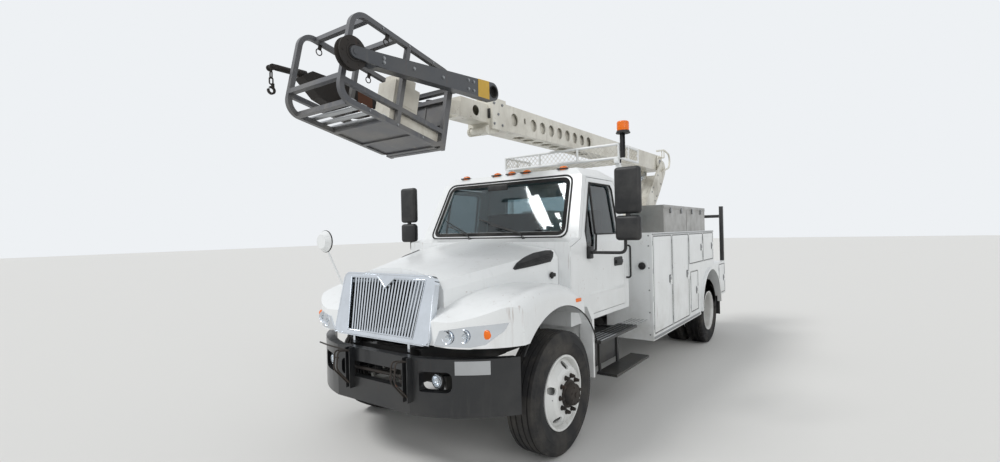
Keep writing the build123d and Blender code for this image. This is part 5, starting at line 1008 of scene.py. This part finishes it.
mesh_low, mesh_height, mesh_width = G_LOW + 0.03, G_HIGH - G_LOW - 0.06, 2 * G_HALF - 0.06
panels = [diamond_mesh(at(G_FRONT, -G_HALF + 0.03, mesh_low), Y, Z, mesh_width, mesh_height)]
panels += [diamond_mesh(at(G_BACK, y, mesh_low), X, Z, 0.61, mesh_height) for y in (G_SIDE, -G_SIDE)]
panels.append(diamond_mesh(at(G_BACK, -G_HALF + 0.03, G_LOW + TUBE_R), X, Y, 0.61, mesh_width, 0.100))
finish(panels, "guard_expanded_metal", boom_enamel)

# Amber beacon: ribbed dome on a black base, on a tapered post
beacon = at(-2.05, 0.900, 3.000)
dome = [(0.018, 0.0700), (0.040, 0.0705)]
for z in [0.046 + index * 0.019 for index in range(4)]:
    dome += [(z, 0.0712), (z + 0.006, 0.0728), (z + 0.012, 0.0712)]
dome += [(0.122, 0.0680), (0.129, 0.0600), (0.130, 0.0)]
finish(turned(dome, beacon, Z, 48), "beacon_dome", amber_lens, "chassis", 40, ["beacon"])
base = turned([(-0.014, 0.0), (-0.014, 0.084), (-0.002, 0.084), (0.004, 0.076), (0.018, 0.074),
               (0.019, 0.066)],
              beacon, Z, 48)
post = plate(side_points(0.890, ((-2.077, 2.700), (-2.095, 2.985), (-2.005, 2.985), (-2.033, 2.700))), 0.012,
             Y,
             edge=0.002)
web = box(at(-2.062, 0.855, 2.700), at(-2.054, 0.920, 2.985), 0.002)
finish([base, post, web], "beacon_base_and_post", black_polymer)

# Turret and boom

# Slew ring bolts
slew_feet = circle(at(-4.600, 0, 1.6205), 0.385, 24, 0.5, X, Y)
finish([bolt_head(foot, Z, 0.013, 0.016) for foot in slew_feet], "slew_ring_bolts", zinc, "turret")

# Bolts of the boom's collar and its wear pads
collar_places = ((-0.470, 3.165), (-0.470, 2.955), (-0.610, 3.165), (-0.610, 2.955), (-0.540, 3.060))
finish(side_bolts(collar_places, 0.6, "boom_outer", 0.011, 0.012), "collar_bolts", zinc, "boom_outer")
finish([box(at(-0.455, side * 0.104, 3.010), at(-0.432, side * 0.136, 3.110), 0.004) for side in (1, -1)],
       "collar_wear_pads", black_polymer, "boom_outer")

# Steel lines clipped along the boom's top
finish([swept([at(-5.30, y, 3.212), at(-1.00, y, 3.212)], 0.0085) for y in (-0.060, -0.030, 0.0)],
       "boom_steel_lines", zinc, "boom_outer")
finish([box(at(s - 0.018, -0.080, 3.1995), at(s + 0.018, 0.020, 3.2245), 0.004)
        for s in (-1.30, -2.10, -2.90, -3.70, -4.50, -5.15)], "boom_line_clips", black_polymer, "boom_outer")

# Basket, side arm and jib

PITCH = radians(12.5)
ALONG = Vector((cos(PITCH), 0, sin(PITCH)))
UPWARD = Vector((-sin(PITCH), 0, cos(PITCH)))
BASKET_REAR = at(0.405, 0, 2.880)
RAIL_UP = 0.345 - 0.038 / 2
FLOOR_UP = -0.345 + 0.038


def in_basket(along, y, up):
    """Point in the pitched basket, from its rear end, middle and mid height."""
    return BASKET_REAR + ALONG * along + Y * y + UPWARD * up


def basket_box(along, across, up, edge=0.0):
    """Box whose sides follow the basket's pitch, from its reach each way."""
    piece = box(*zip(along, across, up), edge)
    piece.data.transform(Matrix.Translation(BASKET_REAR) @ Matrix.Rotation(-PITCH, 4, "Y"))
    return piece


# Pale grip bars on the floor with their studs
grips = [basket_box((a, a + 0.046), (-0.322, 0.322), (FLOOR_UP - 0.004, FLOOR_UP + 0.012), 0.003)
         for a in (0.640, 0.735, 0.830, 0.925)]
finish(grips, "basket_floor_grip_bars", mill_aluminium, "platform")
studs = [rod(in_basket(a, y, FLOOR_UP + 0.012), in_basket(a, y, FLOOR_UP + 0.017), 0.007, 10)
         for a in (0.655, 0.755, 0.855, 0.945) for y in (-0.22, -0.11, 0.0, 0.11, 0.22)]
finish(studs, "basket_floor_grip_studs", zinc, "platform")

# Tie rings and bolt heads on the basket's rails
rings = []
for a, y in ((0.20, 0.316), (0.75, 0.316), (0.40, -0.316), (0.90, -0.316)):
    rings.append(swept(circle(in_basket(a, y, 0.250), 0.026, 15, 0, ALONG, UPWARD), 0.0045, closed=True))
    rings.append(basket_box((a - 0.014, a + 0.014), (y - 0.008, y + 0.008), (0.268, 0.312), 0.003))
finish(rings, "basket_tie_rings", rusty_iron, "platform")
screws = [bolt_head(in_basket(a, side * 0.3352, up), (0, side, 0), 0.0065, 0.006)
          for a in (0.27, 0.54, 0.81) for side in (1, -1) for up in (RAIL_UP, -RAIL_UP)]
finish(screws, "basket_bolts", zinc, "platform")

# Control levers, knobs and hatch of the console
levers, knobs = [], []
for index, y in enumerate((0.105, 0.150, 0.195)):
    foot = in_basket(0.430, y, 0.131)
    tip = in_basket(0.400 + 0.012 * index, y, 0.205)
    levers += [rod(foot, tip, 0.0055, 12),
               turned([(0.0, 0.018), (0.010, 0.016), (0.018, 0.008)], foot, UPWARD, 20)]
    knobs.append(ball(tip, 0.014))
finish(levers, "console_levers", zinc, "platform")
finish(knobs, "console_knobs", black_polymer, "platform")
finish([basket_box((0.315, 0.545), (0.2600, 0.2630), (-0.14, 0.04), 0.001),
        basket_box((0.335, 0.525), (0.2630, 0.2665), (-0.12, 0.02), 0.0012)], "console_hatch", console_white,
       "platform")

# Yellow band on both faces of the side arm, its round port painted black as shade of its hole, and bolts
ARM_IN, ARM_OUT = 0.395, 0.480
band = []
for s, half, flip in ((0.030, 0.0815, 1), (0.190, 0.0775, -1)):
    middle = 3.125 - 0.015 * (s + 0.03) / 0.36
    band += [(s, middle + flip * half), (s, middle - flip * half)]
band = [band[0], band[3], band[2], band[1]]
finish([plate(side_points(ARM_OUT + 0.0005, band), 0.0015, Y),
        plate(side_points(ARM_IN - 0.0005, band), 0.0015, -Y)],
       "side_arm_yellow_band", faded_yellow, "platform")
# Cup and lip in matt black: painted shade in and round the port's hole
port = turned([(0.0, 0.047), (-0.030, 0.046), (-0.032, 0.0)], at(-0.035, ARM_OUT + 0.001, 3.125), Y)
lip = turned([(0.0005, 0.056), (0.006, 0.056), (0.006, 0.046), (0.0005, 0.046)], at(-0.035, ARM_OUT, 3.125),
             Y)
finish([port, lip], "side_arm_port", black_print_and_painted_shade, "platform")
arm_places = ((0.250, 3.150), (0.250, 3.075), (0.320, 3.150), (0.320, 3.075), (0.640, 3.096), (0.960, 3.085),
              (1.260, 3.080), (1.260, 3.050))
finish(side_bolts(arm_places, 0.9, "side_arm", 0.010, 0.009, (1,)), "side_arm_bolts", zinc, "platform")

# Sheave: cap ring and bolts on both cheeks
SHEAVE = at(1.500, 0.4375, 3.060)
sheave_parts = []
for axis in (Y, -Y):
    sheave_parts.append(turned([(0.0345, 0.060), (0.037, 0.058), (0.038, 0.050)], SHEAVE, axis))
    sheave_parts += [rod(foot, foot + axis * 0.004, 0.0075, 6)
                     for foot in circle(SHEAVE + axis * 0.0290, 0.086, 6)]
finish(sheave_parts, "sheave_hub_bolts", rusty_iron, "sheave")

# Rust-brown band, rod collar and safety latch of the jib
JIB_Y = -0.450
jib_band = ((0.640, 2.925), (0.640, 3.128), (0.800, 3.141), (0.800, 2.903))
jib_faces = [plate(side_points(JIB_Y + way * 0.0605, jib_band), 0.0015, Y * way) for way in (1, -1)]
finish(jib_faces, "jib_rust_band", rust_brown, "platform")
collar = turned([(-0.03, 0.0245), (-0.03, 0.036), (0.03, 0.036), (0.03, 0.0245)], at(1.300, JIB_Y, 3.150), X,
                24)
finish(collar, "jib_rod_collar", rusty_iron, "platform")
latch = swept(side_points(JIB_Y, ((1.575, 2.993), (1.583, 2.970), (1.585, 2.952))), 0.003)
finish(latch, "hook_safety_latch", zinc, "hook")

# Cab inside


def cushion(low, high, crown, tilt=0.0, pivot=None):
    """Foam cushion: subdivided box, crowned, with its faces drawn in along sewn seams."""
    piece = box(low, high, 0.030, 3)
    applied(piece, "SUBSURF", levels=2, render_levels=2)
    middle, half = (low + high) / 2, (high - low) / 2
    thin = min(range(3), key=lambda i: half[i])
    wide, deep = [i for i in range(3) if i != thin]
    for vertex in piece.data.vertices:
        share = [(vertex.co[i] - middle[i]) / half[i] for i in range(3)]
        dome = max(0.0, 1 - share[wide] ** 2) * max(0.0, 1 - share[deep] ** 2)
        seam = 0.5 + 0.5 * cos(share[wide] * 3 * pi)
        vertex.co[thin] += half[thin] * share[thin] * (crown * dome - 0.10 * (1 - seam) * dome)
    if tilt:
        piece.data.transform(Matrix.Translation(pivot) @ Matrix.Rotation(tilt, 4, "Y")
                             @ Matrix.Translation(-pivot))
    return piece


def welt(low, high, radius):
    """Sewn piping round the top of a cushion."""
    corners = ((low.x, low.y), (high.x, low.y), (high.x, high.y), (low.x, high.y))
    path = [Vector((x, y, high.z)) for x, y in corners]
    middle = sum(path, Vector()) / 4
    path = [middle + (p - middle) * 0.97 for p in path]
    start = (path[0] + path[3]) / 2
    return bent([start, *path, start], 0.03, radius, 4)


for seat_name, seat_y, half in (("driver", 0.540, 0.230), ("bench", -0.420, 0.400)):
    base_low, base_high = at(-1.600, seat_y - half, 1.330), at(-1.140, seat_y + half, 1.455)
    seat = cushion(base_low, base_high, 0.22)
    back = cushion(at(-1.660, seat_y - half, 1.430), at(-1.540, seat_y + half, 2.070), 0.25, radians(-4),
                   at(-1.600, seat_y, 1.430))
    for made, label in ((seat, f"{seat_name}_seat_cushion"), (back, f"{seat_name}_seat_back")):
        replaced = ["cab_interior"] if label == "driver_seat_cushion" else ()
        finish(made, label, seat_cloth, "chassis", 80, replaced)
    piping = welt(base_low, base_high - Z * 0.006, 0.005)
    stand = box(at(-1.560, seat_y - 0.7 * half, 0.998), at(-1.220, seat_y + 0.7 * half, 1.330), 0.020)
    finish([piping, stand], f"{seat_name}_seat_base", black_polymer)

# Dashboard: padded top, instrument hood, vents and dials
dash = plate(side_points(-0.945, (
    (-0.462, 1.310), (-0.462, 1.655), (-0.640, 1.690), (-0.715, 1.690), (-0.782, 1.648), (-0.790, 1.600),
    (-0.782, 1.500), (-0.680, 1.310),
)), 1.890, Y, edge=0.012)
binnacle = plate(side_points(0.300, (
    (-0.600, 1.684), (-0.690, 1.752), (-0.800, 1.745), (-0.805, 1.700), (-0.770, 1.640),
)), 0.480, Y, edge=0.012)
finish([dash, binnacle], "dashboard", cab_trim)
finish([box(at(-0.795, y - 0.055, z), at(-0.786, y + 0.055, z + 0.006), 0.001)
        for y in (-0.80, -0.30, 0.05, 0.86) for z in (1.560, 1.577, 1.594, 1.611)], "dash_vents",
       black_polymer)
finish([turned([(0.0, radius), (0.006, radius), (0.006, radius - 0.006), (0.002, radius - 0.007),
                (0.002, 0.0)],
               at(-0.806, y, 1.712), (-1, 0, 0.2), 28)
        for y, radius in ((0.46, 0.052), (0.60, 0.052), (0.70, 0.026), (0.38, 0.026))], "dash_dials", chrome)

# Steering wheel with a dished hub, three spokes and its column
WHEEL_TILT = radians(48)
wheel_at = at(-0.930, 0.540, 1.660)
wheel_axis = Vector((-cos(WHEEL_TILT), 0, sin(WHEEL_TILT)))
up_way = wheel_axis.cross(Y).normalized()
steering = [swept(circle(wheel_at + wheel_axis * 0.012, 0.213, 36, 0, Y, up_way), 0.0145, closed=True),
            turned([(-0.035, 0.030), (-0.030, 0.060), (0.010, 0.068), (0.020, 0.050), (0.022, 0.0)], wheel_at,
                   wheel_axis)]
for way in (Y, -Y, -up_way):
    steering.append(rod(wheel_at + way * 0.050, wheel_at + wheel_axis * 0.010 + way * 0.206, 0.017, 12,
                        0.011))
steering.append(rod(wheel_at - wheel_axis * 0.030, wheel_at - wheel_axis * 0.230, 0.034, 20, 0.042))
finish(steering, "steering_wheel", black_polymer)
finish(box(at(-0.735, -0.130, 2.290), at(-0.712, 0.130, 2.350), 0.010), "cab_inner_mirror", black_polymer)

# Last fittings

# Black sleeves of the rear posts and their crossbar
sleeves = [box(at(-5.966, side * 1.1190, 1.240), at(-5.904, side * 1.1810, 2.211), 0.003) for side in (1, -1)]
sleeves.append(box(at(-5.961, -1.118, 2.009), at(-5.909, 1.118, 2.061), 0.003))
finish(sleeves, "rear_post_sleeves", chassis_black)

# Pale scuffed panels on both faces of the basket's rear bulkhead
panels = []
for y_low, y_high in ((-0.285, -0.030), (0.030, 0.235)):
    half = (y_high - y_low) / 2
    for start, direction in ((0.50, -ALONG), (-0.60, ALONG)):
        face, out = hit(in_basket(start, (y_low + y_high) / 2, -0.150), direction, "basket", "console")
        if out.dot(direction) < -0.95:
            quad = [face + Y * dy + UPWARD * du + out * 0.0008
                    for dy, du in ((-half, -0.120), (half, -0.120), (half, 0.120), (-half, 0.120))]
            panels.append(plate(quad, 0.0020, out, corner=0.010))
finish(panels, "basket_bulkhead_panels", console_white, "platform")

# Bolts along both flanks of the riser
RISER_LOW, RISER_TOP = at(-4.600, 0, 1.880), at(-5.700, 0, 2.950)
run = (RISER_TOP - RISER_LOW).normalized()
riser_points = [RISER_LOW.lerp(RISER_TOP, share) + Vector((run.z, 0, -run.x)) * across
                for share in (0.16, 0.24, 0.50, 0.58, 0.80) for across in (-0.105, 0.105)]
finish(side_bolts([(p.x - FRONT_X, p.z) for p in riser_points], 0.6, "riser", 0.011, 0.010), "riser_bolts",
       zinc,
       "riser")

# Pin retainer plates at the boom's pivot
keepers = []
for side in (1, -1):
    foot, out = hit(at(-5.620, side * 0.9, 3.060), (0, -side, 0), "elbow_link")
    keepers.append(turned([(0.0005, 0.058), (0.008, 0.058), (0.010, 0.052), (0.010, 0.0)], foot, out))
    keepers += [bolt_head(spot, out, 0.006, 0.005) for spot in circle(foot + out * 0.010, 0.044, 4, 0.5)]
finish(keepers, "boom_pivot_keepers", zinc, "elbow_link")

# Floor, lights and camera

floor_material = new_material("pale_studio_floor", 0.0, 0.9)[0]
floor_material.node_tree.nodes["Principled BSDF"].inputs["Base Color"].default_value = colour("DAD9D6")
bpy.ops.mesh.primitive_plane_add(size=160, location=(0, 0, 0))
floor = bpy.context.object
floor.name = "studio_floor"
floor.data.materials.append(floor_material)

# Soft sky whose light is weaker than its look to the camera, in reflections and through glass
SKY_LIGHT = 0.62
world = bpy.data.worlds.new("soft_studio")
bpy.context.scene.world = world
world.use_nodes = True
sky_tree = world.node_tree
background = sky_tree.nodes["Background"]
background.inputs["Color"].default_value = colour("EEF1F4")
rays = add_node(sky_tree, "ShaderNodeLightPath").outputs
seen = larger(sky_tree, rays["Is Camera Ray"], rays["Is Glossy Ray"])
seen = larger(sky_tree, seen, rays["Is Transmission Ray"])
sky_tree.links.new(ramp(sky_tree, seen, 0, 1, SKY_LIGHT), background.inputs["Strength"])

# The key comes from ahead and above the right side, a broad fill from the left
for lamp_name, direction, power, spread in (
    ("key_sun", (-0.62, 0.50, -0.95), 1.5, 18),
    ("fill_sun", (-0.60, -0.85, -0.55), 0.7, 40),
):
    lamp = bpy.data.lights.new(lamp_name, "SUN")
    lamp.energy = power
    lamp.angle = radians(spread)
    holder = bpy.data.objects.new(lamp_name, lamp)
    holder.rotation_euler = Vector(direction).to_track_quat("-Z", "Y").to_euler()
    bpy.context.scene.collection.objects.link(holder)

# Camera at the photograph's place, solved from the wheels and the cab
CAMERA_STATION = (3.595, 3.161, 1.846)
CAMERA_YAW = radians(-143.94)
CAMERA_PITCH = radians(0.08)
CAMERA_ROLL = radians(-1.314)
ahead = Vector((cos(CAMERA_YAW) * cos(CAMERA_PITCH), sin(CAMERA_YAW) * cos(CAMERA_PITCH), sin(CAMERA_PITCH)))
right = ahead.cross(Z).normalized()
up = right.cross(ahead)
tilted_right = right * cos(CAMERA_ROLL) + up * sin(CAMERA_ROLL)
tilted_up = up * cos(CAMERA_ROLL) - right * sin(CAMERA_ROLL)
camera_data = bpy.data.cameras.new("photo_camera")
camera_data.sensor_width = 36
camera_data.lens = 17.78
camera_data.clip_end = 500
camera = bpy.data.objects.new("photo_camera", camera_data)
turn = Matrix((tilted_right, tilted_up, -ahead)).transposed().to_4x4()
camera.matrix_world = Matrix.Translation(at(*CAMERA_STATION)) @ turn
bpy.context.scene.collection.objects.link(camera)
bpy.context.scene.camera = camera
bpy.context.scene.view_settings.view_transform = "Standard"
